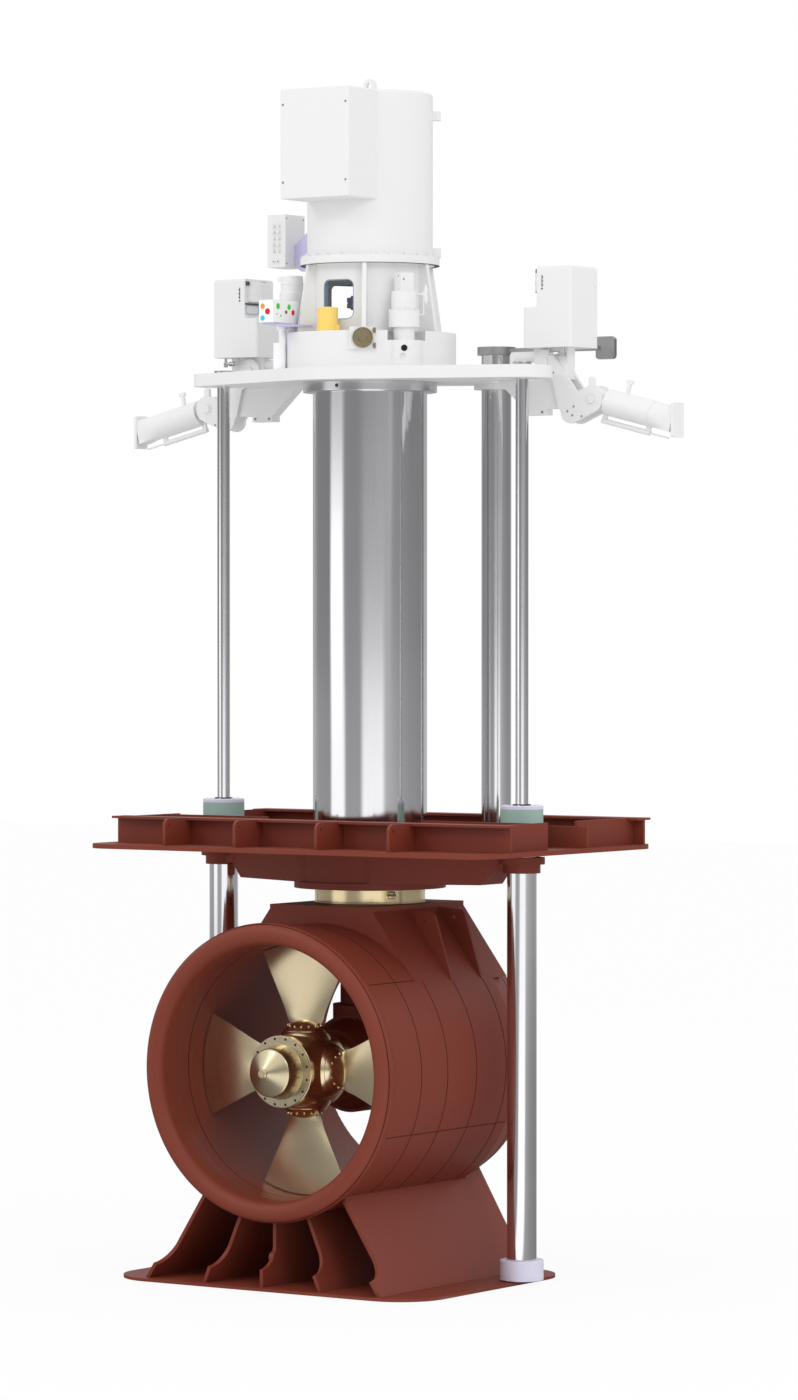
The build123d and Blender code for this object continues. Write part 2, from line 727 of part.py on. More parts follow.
def steering_motor(angle):
    x, y = polar(PINION_RADIUS, angle)
    z = LOBE_TOP
    body = upright(MOTOR_NECK_R, z, z + MOTOR_NECK_H, x, y)
    body -= upright(PINION_SHAFT_R + FIT, z - 1, z + MOTOR_NECK_H / 2, x, y)
    z += MOTOR_NECK_H
    body += upright(MOTOR_COLLAR_R, z, z + MOTOR_COLLAR_H, x, y)
    z += MOTOR_COLLAR_H
    body += upright(MOTOR_BARREL_R, z, z + MOTOR_BARREL_H, x, y)
    z += MOTOR_BARREL_H
    top = Box(MOTOR_BLOCK_W, MOTOR_BLOCK_W, MOTOR_BLOCK_H)
    return body + Pos(x, y, z + MOTOR_BLOCK_H / 2) * Rot(0, 0, angle) * top


def inspection_cover():
    """Round cover on the housing's seat, with a ring of screws."""
    at = HOUSING_R + COVER_SEAT_OUT
    z = COVER_SEAT_Z + COVER_SEAT_H / 2
    cover = crossways(COVER_R, at, at + COVER_T)
    for turn in range(COVER_BOLT_COUNT):
        y, rise = polar(COVER_R, turn * 360 / COVER_BOLT_COUNT + 30)
        cover += crossways(COVER_BOLT_COUNT * 1.5, at, at + COVER_T, y, rise)
    return Rot(0, 0, COVER_ANGLE) * Pos(0, 0, z) * cover


def oil_filler_cap():
    cap = upright(FILLER_R, HOUSING_TOP, HOUSING_TOP + FILLER_H, 0, FILLER_Y)
    cap = fillet(cap.edges().group_by(Axis.Z)[-1], FILLER_H / 30)
    flange = upright(FILLER_R * 1.08, HOUSING_TOP, HOUSING_TOP + FILLER_H / 5, 0, FILLER_Y)
    lug = block(FILLER_R * 0.6, FILLER_R * 1.35, -9, 9, HOUSING_TOP, HOUSING_TOP + FILLER_H / 4)
    return cap + flange + Pos(0, FILLER_Y, 0) * lug


def lantern():
    """Open drum with three windows and tapered outer ribs."""
    drum = upright(LANTERN_R, HOUSING_TOP, LANTERN_TOP_Z)
    inner_top = LANTERN_TOP_Z - LANTERN_ROOF_T
    drum -= upright(LANTERN_R - LANTERN_WALL, HOUSING_TOP - 1, inner_top)
    drum -= upright(DRIVE_R * 1.5, inner_top - 1, LANTERN_TOP_Z + 1)
    outline = [
        (LANTERN_R - LANTERN_WALL / 2, HOUSING_TOP),
        (LANTERN_RIB_FOOT_R, HOUSING_TOP),
        (LANTERN_RIB_TOP_R, LANTERN_TOP_Z),
        (LANTERN_R - LANTERN_WALL / 2, LANTERN_TOP_Z),
    ]
    one = side_profile(outline, -LANTERN_RIB_T / 2, LANTERN_RIB_T / 2)
    for turn in range(LANTERN_RIBS):
        drum += Rot(0, 0, turn * 360 / LANTERN_RIBS) * one
    hole = extrude(Plane.YZ * RectangleRounded(WINDOW_W, WINDOW_H, WINDOW_CORNER), amount=LANTERN_R)
    for angle in WINDOW_ANGLES:
        level = WINDOW_Z + WINDOW_H / 2
        drum -= Rot(0, 0, angle) * Pos(LANTERN_R / 2, 0, level) * hole
    return drum


def lifting_lug():
    foot = MOTOR_TOP_Z - MOTOR_WALL / 2
    eye_z = MOTOR_TOP_Z + LUG_H - LUG_W / 2
    lug = block(-LUG_W / 2, LUG_W / 2, -LUG_T / 2, LUG_T / 2, foot, eye_z)
    lug += lengthways(LUG_W / 2, LUG_T / 2, -LUG_T / 2, 0, eye_z)
    return lug - lengthways(LUG_HOLE_R, LUG_T, -LUG_T, 0, eye_z)


def motor_frame():
    frame = upright(MOTOR_R, MOTOR_Z, MOTOR_TOP_Z)
    frame = fillet(frame.edges().group_by(Axis.Z)[-1], MOTOR_EDGE)
    frame += upright(MOTOR_FLANGE_R, LANTERN_TOP_Z, MOTOR_Z)
    for z in SIDE_LUG_ZS:
        ear = block(
            MOTOR_R - MOTOR_WALL / 2,
            MOTOR_R + SIDE_LUG_OUT,
            -SIDE_LUG_W / 2,
            SIDE_LUG_W / 2,
            z,
            z + SIDE_LUG_H,
        )
        frame += Rot(0, 0, SIDE_LUG_ANGLE) * ear
    inside = MOTOR_R - MOTOR_WALL
    frame -= upright(inside, MOTOR_Z, MOTOR_TOP_Z - 2 * MOTOR_WALL)
    frame -= upright(DRIVE_R * 1.5, LANTERN_TOP_Z - 1, MOTOR_Z + 1)
    return frame + lifting_lug()


def motor_stator():
    return sleeve(MOTOR_R - MOTOR_WALL - SEAT, STATOR_BORE_R, STATOR_Z, STATOR_Z + STATOR_H)


def terminal_box():
    front = TERMINAL_FRONT_Y + TERMINAL_COVER_T
    half = TERMINAL_W / 2
    box = block(-half, half, front, 0, TERMINAL_Z, TERMINAL_Z + TERMINAL_H)
    box = fillet(box.edges().filter_by(Axis.Y), TERMINAL_EDGE)
    box -= block(-MOTOR_R, MOTOR_R, -MOTOR_R / 2, 1, TERMINAL_Z - 1, TERMINAL_Z + TERMINAL_H + 1)
    return box - upright(MOTOR_R + SEAT, TERMINAL_Z - 1, TERMINAL_Z + TERMINAL_H + 1)


def terminal_box_cover():
    half = TERMINAL_W / 2
    front, back = TERMINAL_FRONT_Y, TERMINAL_FRONT_Y + TERMINAL_COVER_T
    lid = block(-half, half, front, back, TERMINAL_Z, TERMINAL_Z + TERMINAL_H)
    lid = fillet(lid.edges().filter_by(Axis.Y), TERMINAL_EDGE)
    return chamfer(lid.faces().sort_by(Axis.Y)[0].edges(), TERMINAL_COVER_T / 3)


def junction_box():
    """Upright box with two columns of cable glands on its front."""
    box = block(
        JUNCTION_X0, JUNCTION_X1, JUNCTION_Y0, JUNCTION_Y1, JUNCTION_Z, JUNCTION_Z + JUNCTION_H
    )
    middle = (JUNCTION_X0 + JUNCTION_X1) / 2
    for side in (-1, 1):
        x = middle + side * JUNCTION_GLAND_PITCH_X / 2
        for row in range(JUNCTION_GLAND_COUNT):
            z = JUNCTION_GLAND_Z + row * JUNCTION_GLAND_PITCH_Z
            front = JUNCTION_Y0 - JUNCTION_GLAND_H
            box += lengthways(JUNCTION_GLAND_R, JUNCTION_Y0 + 1, front, x, z)
    return box


def junction_bracket():
    """Rounded bracket from the motor flange to the junction box's side."""
    middle_y = (JUNCTION_Y0 + JUNCTION_Y1) / 2
    top = LANTERN_TOP_Z + MOTOR_FLANGE_H
    low = LANTERN_TOP_Z - BRACKET_T
    outline = [
        (JUNCTION_X1, JUNCTION_Z + BRACKET_T),
        (JUNCTION_X1 + 4 * BRACKET_T, low),
        (-MOTOR_FLANGE_R + BRACKET_T, low),
        (-MOTOR_R + BRACKET_T, top),
        (-MOTOR_R + BRACKET_T, top + JUNCTION_H * 0.8),
        (JUNCTION_X1, JUNCTION_Z + JUNCTION_H * 0.42),
    ]
    web = side_profile(outline, middle_y - BRACKET_T / 2, middle_y + BRACKET_T / 2)
    web -= upright(MOTOR_R + SEAT, top - 1, MOTOR_TOP_Z)
    return web - upright(MOTOR_FLANGE_R + SEAT, low - 1, top)


def control_box():
    half_w, half_d = CONTROL_W / 2, CONTROL_D / 2
    box = block(
        CONTROL_X - half_w,
        CONTROL_X + half_w,
        CONTROL_Y - half_d,
        CONTROL_Y + half_d,
        CONTROL_Z,
        CONTROL_Z + CONTROL_H,
    )
    return chamfer(box.edges().filter_by(Axis.Z), 4)


def control_post():
    """Round pedestal on the carriage plate with the post that holds the shelf up."""
    top = CONTROL_Z - SHELF_T
    post = upright(POST_R, CARRIAGE_TOP + PEDESTAL_H, top, POST_X, POST_Y)
    post += upright(POST_R * 1.6, top - POST_R, top, POST_X, POST_Y)
    return post + upright(
        PEDESTAL_R, CARRIAGE_TOP, CARRIAGE_TOP + PEDESTAL_H, PEDESTAL_X, PEDESTAL_Y
    )


def control_lamps():
    """Round indicator lamps on the two faces of the control box that look outwards."""
    front = CONTROL_Y - CONTROL_D / 2
    left = CONTROL_X - CONTROL_W / 2
    side = CONTROL_X + CONTROL_W / 2
    lamps = []
    for across, up in ((0.30, 0.72), (0.30, 0.19), (0.65, 0.48)):
        x, z = left + across * CONTROL_W, CONTROL_Z + up * CONTROL_H
        lamps.append(lengthways(LAMP_R, front, front - LAMP_H, x, z))
    for across, up in ((0.20, 0.72), (0.61, 0.72), (0.50, 0.48), (0.76, 0.48)):
        y, z = front + across * CONTROL_D, CONTROL_Z + up * CONTROL_H
        lamps.append(crossways(LAMP_R, side, side + LAMP_H, y, z))
    return Compound(children=lamps)


def control_stand():
    """Shelf under the control box, with its leg on the steering housing."""
    shelf_z = CONTROL_Z - SHELF_T
    plan = [
        (CONTROL_X - CONTROL_W / 2 + SHELF_T, CONTROL_Y - CONTROL_D / 2 + 2 * SHELF_T),
        (CONTROL_X + CONTROL_W / 2 - SHELF_T, CONTROL_Y - CONTROL_D / 2 + 2 * SHELF_T),
        (SHELF_LEG_X1, SHELF_LEG_Y + SHELF_T / 2),
        (SHELF_LEG_X0, SHELF_LEG_Y + SHELF_T / 2),
        (CONTROL_X - CONTROL_W / 2 + SHELF_T, CONTROL_Y + CONTROL_D / 3),
    ]
    shelf = Pos(0, 0, shelf_z) * extrude(make_face(Polyline(*plan, close=True)), amount=SHELF_T)
    leg = block(
        SHELF_LEG_X0,
        SHELF_LEG_X1,
        SHELF_LEG_Y - SHELF_T / 2,
        SHELF_LEG_Y + SHELF_T / 2,
        HOUSING_TOP,
        shelf_z,
    )
    return shelf + leg


def enclosure():
    """Box with rounded edges over the locking frame, open at its inner top corner."""
    top = ENCLOSURE_Z + ENCLOSURE_H
    box = block(ENCLOSURE_X0, ENCLOSURE_X1, ENCLOSURE_Y0, ENCLOSURE_Y1, ENCLOSURE_Z, top)
    edges = box.edges().filter_by(Axis.Z) + box.edges().group_by(Axis.Z)[-1]
    box = fillet(edges, ENCLOSURE_EDGE)
    notch = block(
        ENCLOSURE_X0 - NOTCH_W,
        ENCLOSURE_X0 + NOTCH_W,
        ENCLOSURE_Y0 - 1,
        ENCLOSURE_Y1 + 1,
        top - NOTCH_H,
        top + NOTCH_H,
    )
    inner = notch.edges().filter_by(Axis.Y).group_by(Axis.Z)[0].sort_by(Axis.X)[-1]
    return box - fillet(inner, NOTCH_CORNER)


def enclosure_unit():
    """Flat rounded panel on the wall of the enclosure's open corner."""
    wall = ENCLOSURE_X0 + NOTCH_W
    floor = ENCLOSURE_Z + ENCLOSURE_H - NOTCH_H
    y = (ENCLOSURE_Y0 + ENCLOSURE_Y1) / 2
    low = floor + UNIT_RISE
    panel = block(wall - UNIT_T, wall, y - UNIT_W / 2, y + UNIT_W / 2, low, low + UNIT_H)
    panel = fillet(panel.edges().filter_by(Axis.X), UNIT_H / 4)
    return chamfer(panel.faces().sort_by(Axis.X)[0].edges(), UNIT_T / 3)


def link(ax, az, ar, bx, bz, br, y0, y1):
    """Two discs joined by their outer tangents, as a plate between y0 and y1."""
    shape = make_hull([CenterArc((ax, az), ar, 0, 360), CenterArc((bx, bz), br, 0, 360)])
    flat = extrude(shape, amount=y1 - y0)
    return Pos(0, y1, 0) * Rot(90, 0, 0) * flat


def lock_cheek(y0, y1):
    """Bent side plate from its dome above the carriage plate down and out to the knuckle."""
    plate = [
        (DOME_X - DOME_R * 0.85, DOME_Z - DOME_R * 0.53),
        (NECK_X, CARRIAGE_Z - LOCK_PLATE_T / 2),
        (WAIST_X, WAIST_Z),
        (VERTEX_X - VERTEX_R, VERTEX_Z),
        (VERTEX_X, VERTEX_Z),
        (KNUCKLE_X, KNUCKLE_Z),
        (KNUCKLE_X - KNUCKLE_R * 0.5, KNUCKLE_Z + KNUCKLE_R * 0.866),
        (CROOK_X, CROOK_Z),
        (DOME_X + DOME_R * 0.857, DOME_Z + DOME_R * 0.515),
    ]
    cheek = side_profile(plate, y0, y1)
    cheek += lengthways(DOME_R, y0, y1, DOME_X, DOME_Z)
    return cheek + link(
        KNUCKLE_X, KNUCKLE_Z, KNUCKLE_R, VERTEX_X, VERTEX_Z, VERTEX_R, y0, y1
    )


def lock_frame():
    """Box under the carriage plate, core up to the enclosure, and two cheeks for the knuckle."""
    inner_y0, inner_y1 = LOCK_Y - LOCK_GAP / 2, LOCK_Y + LOCK_GAP / 2
    outline = [
        (LOCK_BOX_X0, CARRIAGE_Z),
        (LOCK_BOX_X1, CARRIAGE_Z),
        (LOCK_BOX_X1, LOCK_BOX_Z),
        (LOCK_BOX_FOOT_X, LOCK_BOX_Z),
    ]
    frame = side_profile(outline, inner_y0, inner_y1)
    foot_x = LOCK_BOX_FOOT_X
    low = LOCK_BOX_Z - LOCK_BLOCK_H
    frame += block(foot_x, foot_x + LOCK_BLOCK_LENGTH, inner_y0, inner_y1, low, LOCK_BOX_Z)
    frame += block(LOCK_CORE_X0, LOCK_CORE_X1, inner_y0, inner_y1, CARRIAGE_Z, ENCLOSURE_Z)
    frame += crossways(PUSHER_R, PUSHER_X, LOCK_CORE_X0 + 1, LOCK_Y, PUSHER_Z)
    frame += block(
        PUSHER_X,
        PUSHER_X + PUSHER_FOOT,
        LOCK_Y - PUSHER_R,
        LOCK_Y + PUSHER_R,
        CARRIAGE_Z,
        PUSHER_Z,
    )
    outer_y0 = inner_y0 - LOCK_PLATE_T
    outer_y1 = inner_y1 + LOCK_PLATE_T
    frame += lock_cheek(outer_y0, inner_y0) + lock_cheek(inner_y1, outer_y1)
    lug_z = KNUCKLE_Z + KNUCKLE_R + KNUCKLE_LUG_H
    lug_r = KNUCKLE_LUG_W / 2
    frame += link(KNUCKLE_X, KNUCKLE_Z, lug_r, KNUCKLE_X, lug_z, lug_r, outer_y0, inner_y0)
    frame -= Pos(0, 0, CARRIAGE_Z) * extrude(carriage_outline(), amount=CARRIAGE_T)
    pin = KNUCKLE_PIN_R + FIT
    return frame - lengthways(pin, outer_y0 - 1, outer_y1 + 1, KNUCKLE_X, KNUCKLE_Z)


def along_strut(solid):
    """Place a piece drawn along +X from the knuckle onto the strut's slope."""
    return Pos(KNUCKLE_X, LOCK_Y, KNUCKLE_Z) * Rot(0, -STRUT_SLOPE, 0) * solid


def lock_strut():
    """Cylinder on the knuckle pin, with its position sensor below."""
    half = LOCK_GAP / 2 - SEAT
    head = lengthways(KNUCKLE_R * 0.86, half, -half)
    head += block(0, STRUT_START, -half, half, -KNUCKLE_R * 0.6, KNUCKLE_R * 0.6)
    head += lengthways(KNUCKLE_PIN_R, half + LOCK_PLATE_T + 6, -half - LOCK_PLATE_T - 6)
    tube = crossways(STRUT_R, STRUT_START, STRUT_END)
    tube -= crossways(STRUT_BORE_R, STRUT_END - PLUNGER_LENGTH - 20, STRUT_END + 1)
    hook_x = STRUT_HOOK_AT
    top = STRUT_R + STRUT_HOOK_H
    hook = block(hook_x - 11, hook_x + 11, -11, 11, STRUT_R * 0.8, top)
    hook += block(hook_x - 24, hook_x + 24, -11, 11, top - 22, top)
    sensor = crossways(SENSOR_R, SENSOR_START, SENSOR_END, 0, -SENSOR_DROP)
    sensor += crossways(SENSOR_ROD_R, SENSOR_END - SENSOR_R, SENSOR_ROD_END, 0, -SENSOR_DROP)
    for x in (SENSOR_START + SENSOR_R, SENSOR_END - SENSOR_R):
        sensor += block(x - SENSOR_R, x + SENSOR_R, -8, 8, -SENSOR_DROP, -STRUT_R * 0.8)
    return along_strut(head + tube + hook + sensor)


def lock_foot():
    """Plunger with the end plate that bears on the ship's structure."""
    plunger = crossways(STRUT_BORE_R - FIT, STRUT_END - PLUNGER_LENGTH, STRUT_END + 10)
    neck_end = FOOT_PLATE_AT
    base = Plane.YZ.offset(STRUT_END + SEAT) * Circle(STRUT_R * 0.96)
    flare = Plane.YZ.offset(neck_end) * Rectangle(FOOT_PLATE_W * 0.9, FOOT_NECK_H)
    neck = loft([base, flare])
    plate = block(
        FOOT_PLATE_AT,
        FOOT_PLATE_AT + FOOT_PLATE_T,
        -FOOT_PLATE_W / 2,
        FOOT_PLATE_W / 2,
        -FOOT_PLATE_H / 2,
        FOOT_PLATE_H / 2,
    )
    plate = fillet(plate.edges().filter_by(Axis.X), FOOT_PLATE_T / 2)
    turned = Rot(0, STRUT_SLOPE, 0) * Pos(-FOOT_PLATE_AT, 0, 0) * plate
    return along_strut(plunger + neck + Pos(FOOT_PLATE_AT, 0, 0) * turned)


# Azimuth body


def gear_outline(teeth, module, tooth_share=0.44, reach=1.0):
    """Outline of a gear with straight-flanked teeth, one tooth centred on +X."""
    pitch_r = module * teeth / 2
    tip_r, root_r = pitch_r + 0.9 * module * reach, pitch_r - 1.15 * module * reach
    step = 2 * pi / teeth
    half_pitch = step * tooth_share / 2
    flank = tan(radians(20)) * module / pitch_r
    points = []
    for tooth in range(teeth):
        middle = tooth * step
        corners = (
            (root_r, -half_pitch - flank),
            (tip_r, -half_pitch + flank),
            (tip_r, half_pitch - flank),
            (root_r, half_pitch + flank),
        )
        points += [(r * cos(middle + a), r * sin(middle + a)) for r, a in corners]
    return make_face(Polyline(*points, close=True))


def steering_ring_gear():
    gear = extrude(gear_outline(RING_TEETH, GEAR_MODULE), amount=GEAR_WIDTH)
    phase = STEERING_ANGLES[0]
    gear = Pos(0, 0, GEAR_Z) * Rot(0, 0, phase) * gear
    return gear - upright(AZIMUTH_TUBE_R + SEAT, GEAR_Z - 1, GEAR_Z + GEAR_WIDTH + 1)


def steering_pinion(angle):
    """Pinion in mesh with the ring gear, on a shaft that goes up into its motor."""
    x, y = polar(PINION_RADIUS, angle)
    step = 360 / RING_TEETH
    ring_phase = (angle - STEERING_ANGLES[0]) % step
    own_phase = -ring_phase * RING_TEETH / PINION_TEETH
    gap = 180 / PINION_TEETH
    gear = extrude(gear_outline(PINION_TEETH, GEAR_MODULE), amount=GEAR_WIDTH)
    gear = Rot(0, 0, angle + 180 + gap - own_phase) * gear
    gear = Pos(x, y, GEAR_Z) * gear
    return gear + upright(PINION_SHAFT_R, GEAR_Z, LOBE_TOP + MOTOR_NECK_H / 2 - 1, x, y)


def azimuth_tube():
    return sleeve(
        AZIMUTH_TUBE_R, AZIMUTH_TUBE_R - AZIMUTH_TUBE_WALL, HEAD_TOP_Z, GEAR_Z + GEAR_WIDTH
    )


def azimuth_bearings():
    """Slewing bearings between the stem and the azimuth tube, top and bottom."""
    outer, inner = STEM_R - STEM_WALL - SEAT, AZIMUTH_TUBE_R + SEAT
    low = HUB_BOTTOM_Z + ARM_HUB_BASE_H
    rings = [sleeve(outer, inner, z, z + BEARING_H) for z in (low, COLLAR_Z - 2 * BEARING_H)]
    return Compound(children=rings)


def azimuth_ring():
    ring = sleeve(AZIMUTH_RING_R, AZIMUTH_TUBE_R + SEAT, HEAD_TOP_Z, HUB_BOTTOM_Z - SEAT)
    groove_z = HUB_BOTTOM_Z - 14
    ring -= sleeve(AZIMUTH_RING_R + 5, AZIMUTH_RING_R - 5, groove_z - 8, groove_z)
    notch = block(AZIMUTH_RING_R - 8, AZIMUTH_RING_R + 8, -7, 7, HEAD_TOP_Z + 8, groove_z - 16)
    return ring - Rot(0, 0, -39) * notch


def nozzle_room():
    """The space the nozzle's outside takes up, grown by the usual clearance."""
    wide = NOZZLE_R + SEAT
    narrow = TAIL_R + SEAT
    outline = Polyline(
        (0, NOZZLE_FRONT_Y - LIP_R),
        (wide, NOZZLE_FRONT_Y - LIP_R),
        (wide, TAPER_Y),
        (narrow, NOZZLE_REAR_Y - TAIL_EDGE),
        (narrow, NOZZLE_REAR_Y + LIP_R),
        (0, NOZZLE_REAR_Y + LIP_R),
        close=True,
    )
    return Pos(0, 0, NOZZLE_Z) * revolve(make_face(outline), axis=Axis.Y)


def side_sheet_foot():
    """Where a line from the head plate's edge touches the nozzle, as X and Z."""
    rise = HEAD_PLATE_Z - NOZZLE_Z
    far = hypot(HEAD_X, rise)
    turn = atan2(HEAD_X, rise) + acos((NOZZLE_R + SEAT) / far)
    return (NOZZLE_R + SEAT) * sin(turn), NOZZLE_Z + (NOZZLE_R + SEAT) * cos(turn)


def nozzle_head_box():
    """Saddle on the nozzle: thick top plate, end walls, slanted side sheets and gussets."""
    front, rear = HEAD_FRONT_Y, HEAD_REAR_Y
    foot_x, foot_z = side_sheet_foot()
    saddle = [
        (-HEAD_X, HEAD_PLATE_Z),
        (HEAD_X, HEAD_PLATE_Z),
        (foot_x, foot_z),
        (-foot_x, foot_z),
    ]
    box = side_profile(saddle, front, rear)
    inner = HEAD_X - HEAD_WALL_T * 1.3
    inner_foot = inner + (foot_x - HEAD_X) * (HEAD_PLATE_Z - NOZZLE_Z) / (HEAD_PLATE_Z - foot_z)
    hollow = [
        (-inner, HEAD_PLATE_Z),
        (inner, HEAD_PLATE_Z),
        (inner_foot, NOZZLE_Z),
        (-inner_foot, NOZZLE_Z),
    ]
    box -= side_profile(hollow, front + HEAD_WALL_T, rear - HEAD_WALL_T)
    top_x = HEAD_X + GUSSET_OUT
    outline = [
        (inner, HEAD_PLATE_Z),
        (HEAD_X, HEAD_PLATE_Z),
        (top_x, HEAD_PLATE_Z - GUSSET_DROP),
        (foot_x, foot_z),
        (inner, NOZZLE_Z),
    ]
    hole_x, hole_z = top_x - GUSSET_HOLE_IN, HEAD_PLATE_Z - GUSSET_HOLE_DROP
    for y in GUSSET_YS:
        gusset = side_profile(outline, y, y + GUSSET_T)
        corner = gusset.edges().filter_by(Axis.Y).sort_by_distance((top_x, y, HEAD_PLATE_Z))[0]
        gusset = fillet(corner, GUSSET_CORNER)
        gusset -= lengthways(GUSSET_HOLE_R, y - 1, y + GUSSET_T + 1, hole_x, hole_z)
        box += gusset + mirrored(gusset)
    box -= nozzle_room()
    box += block(-HEAD_X, HEAD_X, front, rear, HEAD_PLATE_Z, HEAD_TOP_Z)
    return box - upright(LEG_TUBE_BORE_R, HEAD_PLATE_Z - 1, HEAD_TOP_Z + 1)


def nozzle_profile():
    """Half section of the nozzle ring, radius in X and station along the axis in Y."""
    throat_front = PROP_Y - THROAT_LENGTH / 2
    throat_rear = PROP_Y + THROAT_LENGTH / 2
    lip_out = NOZZLE_R + LIP_PROUD
    lip_in = lip_out - 2 * LIP_R
    lip_y = NOZZLE_FRONT_Y + LIP_R
    neck_y = lip_y + LIP_R * 0.8
    tail_in = EXIT_R
    wire = (
        Line((TAIL_R, NOZZLE_REAR_Y - TAIL_EDGE), (NOZZLE_R, TAPER_Y))
        + Line((NOZZLE_R, TAPER_Y), (NOZZLE_R, neck_y))
        + ThreePointArc(
            (NOZZLE_R, neck_y),
            ((NOZZLE_R + lip_out) / 2 - 2, (neck_y + lip_y) / 2),
            (lip_out, lip_y),
        )
        + ThreePointArc((lip_out, lip_y), (lip_out - LIP_R, NOZZLE_FRONT_Y), (lip_in, lip_y))
        + ThreePointArc(
            (lip_in, lip_y),
            ((lip_in + THROAT_R) / 2 - 6, (lip_y + throat_front) / 2),
            (THROAT_R, throat_front),
        )
        + Line((THROAT_R, throat_front), (THROAT_R, throat_rear))
        + Line((THROAT_R, throat_rear), (tail_in, NOZZLE_REAR_Y - TAIL_EDGE))
        + ThreePointArc(
            (tail_in, NOZZLE_REAR_Y - TAIL_EDGE),
            ((tail_in + TAIL_R) / 2, NOZZLE_REAR_Y),
            (TAIL_R, NOZZLE_REAR_Y - TAIL_EDGE),
        )
    )
    return make_face(wire)


def nozzle_shell():
    ring = revolve(nozzle_profile(), axis=Axis.Y)
    ring = Pos(0, 0, NOZZLE_Z) * ring
    return ring - upright(LEG_TUBE_R + SEAT, NOZZLE_Z, HEAD_PLATE_Z)


def nozzle_leg(top_x, foot_x):
    """One leg plate from the nozzle's underside out to the closing plate."""
    run = foot_x - top_x
    top_z = NOZZLE_Z - (NOZZLE_R**2 - top_x**2) ** 0.5
    rise = top_z - CLOSING_TOP
    reach = hypot(run, rise)
    spare = reach * 0.35
    toe_arc = (
        LEG_FRONT_Y - (LEG_FRONT_Y - TOE_Y) * 0.35,
        TOE_H + (TOE_CURVE_H - TOE_H) * 0.3,
    )
    wire = (
        Line((TOE_Y, -spare), (TOE_Y, TOE_H))
        + ThreePointArc((TOE_Y, TOE_H), toe_arc, (LEG_FRONT_Y, TOE_CURVE_H))
        + Line((LEG_FRONT_Y, TOE_CURVE_H), (LEG_FRONT_Y, reach + spare))
        + Line((LEG_FRONT_Y, reach + spare), (LEG_REAR_TOP_Y, reach + spare))
        + Line((LEG_REAR_TOP_Y, reach + spare), (LEG_REAR_FOOT_Y, -spare))
        + Line((LEG_REAR_FOOT_Y, -spare), (TOE_Y, -spare))
    )
    up = Vector(-run, 0, rise).normalized()
    square = Vector(0, 1, 0).cross(up)
    plane = Plane(origin=(foot_x, 0, CLOSING_TOP), x_dir=(0, 1, 0), z_dir=square)
    leg = extrude(plane * make_face(wire), amount=LEG_T / 2, both=True)
    leg -= nozzle_room()
    lip_r = NOZZLE_R + LIP_PROUD + SEAT
    lip_rear = NOZZLE_FRONT_Y + 2 * LIP_R
    leg -= lengthways(lip_r, lip_rear, NOZZLE_FRONT_Y - LIP_R, 0, NOZZLE_Z)
    keep = block(-CLOSING_X, CLOSING_X, CLOSING_FRONT_Y, CLOSING_REAR_Y, CLOSING_TOP, NOZZLE_Z)
    leg &= keep
    # the cut by the nozzle leaves a stray piece above it, so only the lower one is kept
    return leg.solids().sort_by(Axis.Z)[0]


def nozzle_legs():
    legs = []
    for top_x, foot_x in zip(LEG_TOP_XS, LEG_FOOT_XS):
        leg = nozzle_leg(top_x, foot_x)
        if foot_x == 0:
            boss_z = CLOSING_TOP + LEG_BOSS_H
            boss = crossways(LEG_BOSS_R, -LEG_BOSS_OUT, LEG_BOSS_OUT, LEG_FRONT_Y, boss_z)
            legs.append(leg + boss)
        else:
            legs += [leg, mirrored(leg)]
    return Compound(children=legs)


def closing_plate():
    length = CLOSING_REAR_Y - CLOSING_FRONT_Y
    outline = RectangleRounded(2 * CLOSING_X, length, CLOSING_CORNER)
    middle_y = (CLOSING_REAR_Y + CLOSING_FRONT_Y) / 2
    return Pos(0, middle_y, CLOSING_Z) * extrude(outline, amount=CLOSING_T)


def strut_leg():
    """Tube from the head box down to the gearhouse, with a bolted foot flange."""
    leg = upright(LEG_TUBE_R, LEG_FLANGE_Z, HEAD_PLATE_Z)
    leg += upright(LEG_FLANGE_R, LEG_FLANGE_Z, LEG_FLANGE_Z + LEG_FLANGE_H)
    return leg - upright(LEG_TUBE_BORE_R, LEG_FLANGE_Z - 1, HEAD_PLATE_Z + 1)


def ring_of_screws(radius, count, y, z, head_r, head_h):
    """Screw heads on a circle about the shaft axis, standing forward of a face."""
    heads = []
    for turn in range(count):
        x, rise = polar(radius, (turn + 0.5) * 360 / count)
        heads.append(lengthways(head_r, y + 1, y - head_h, x, z + rise))
    return heads


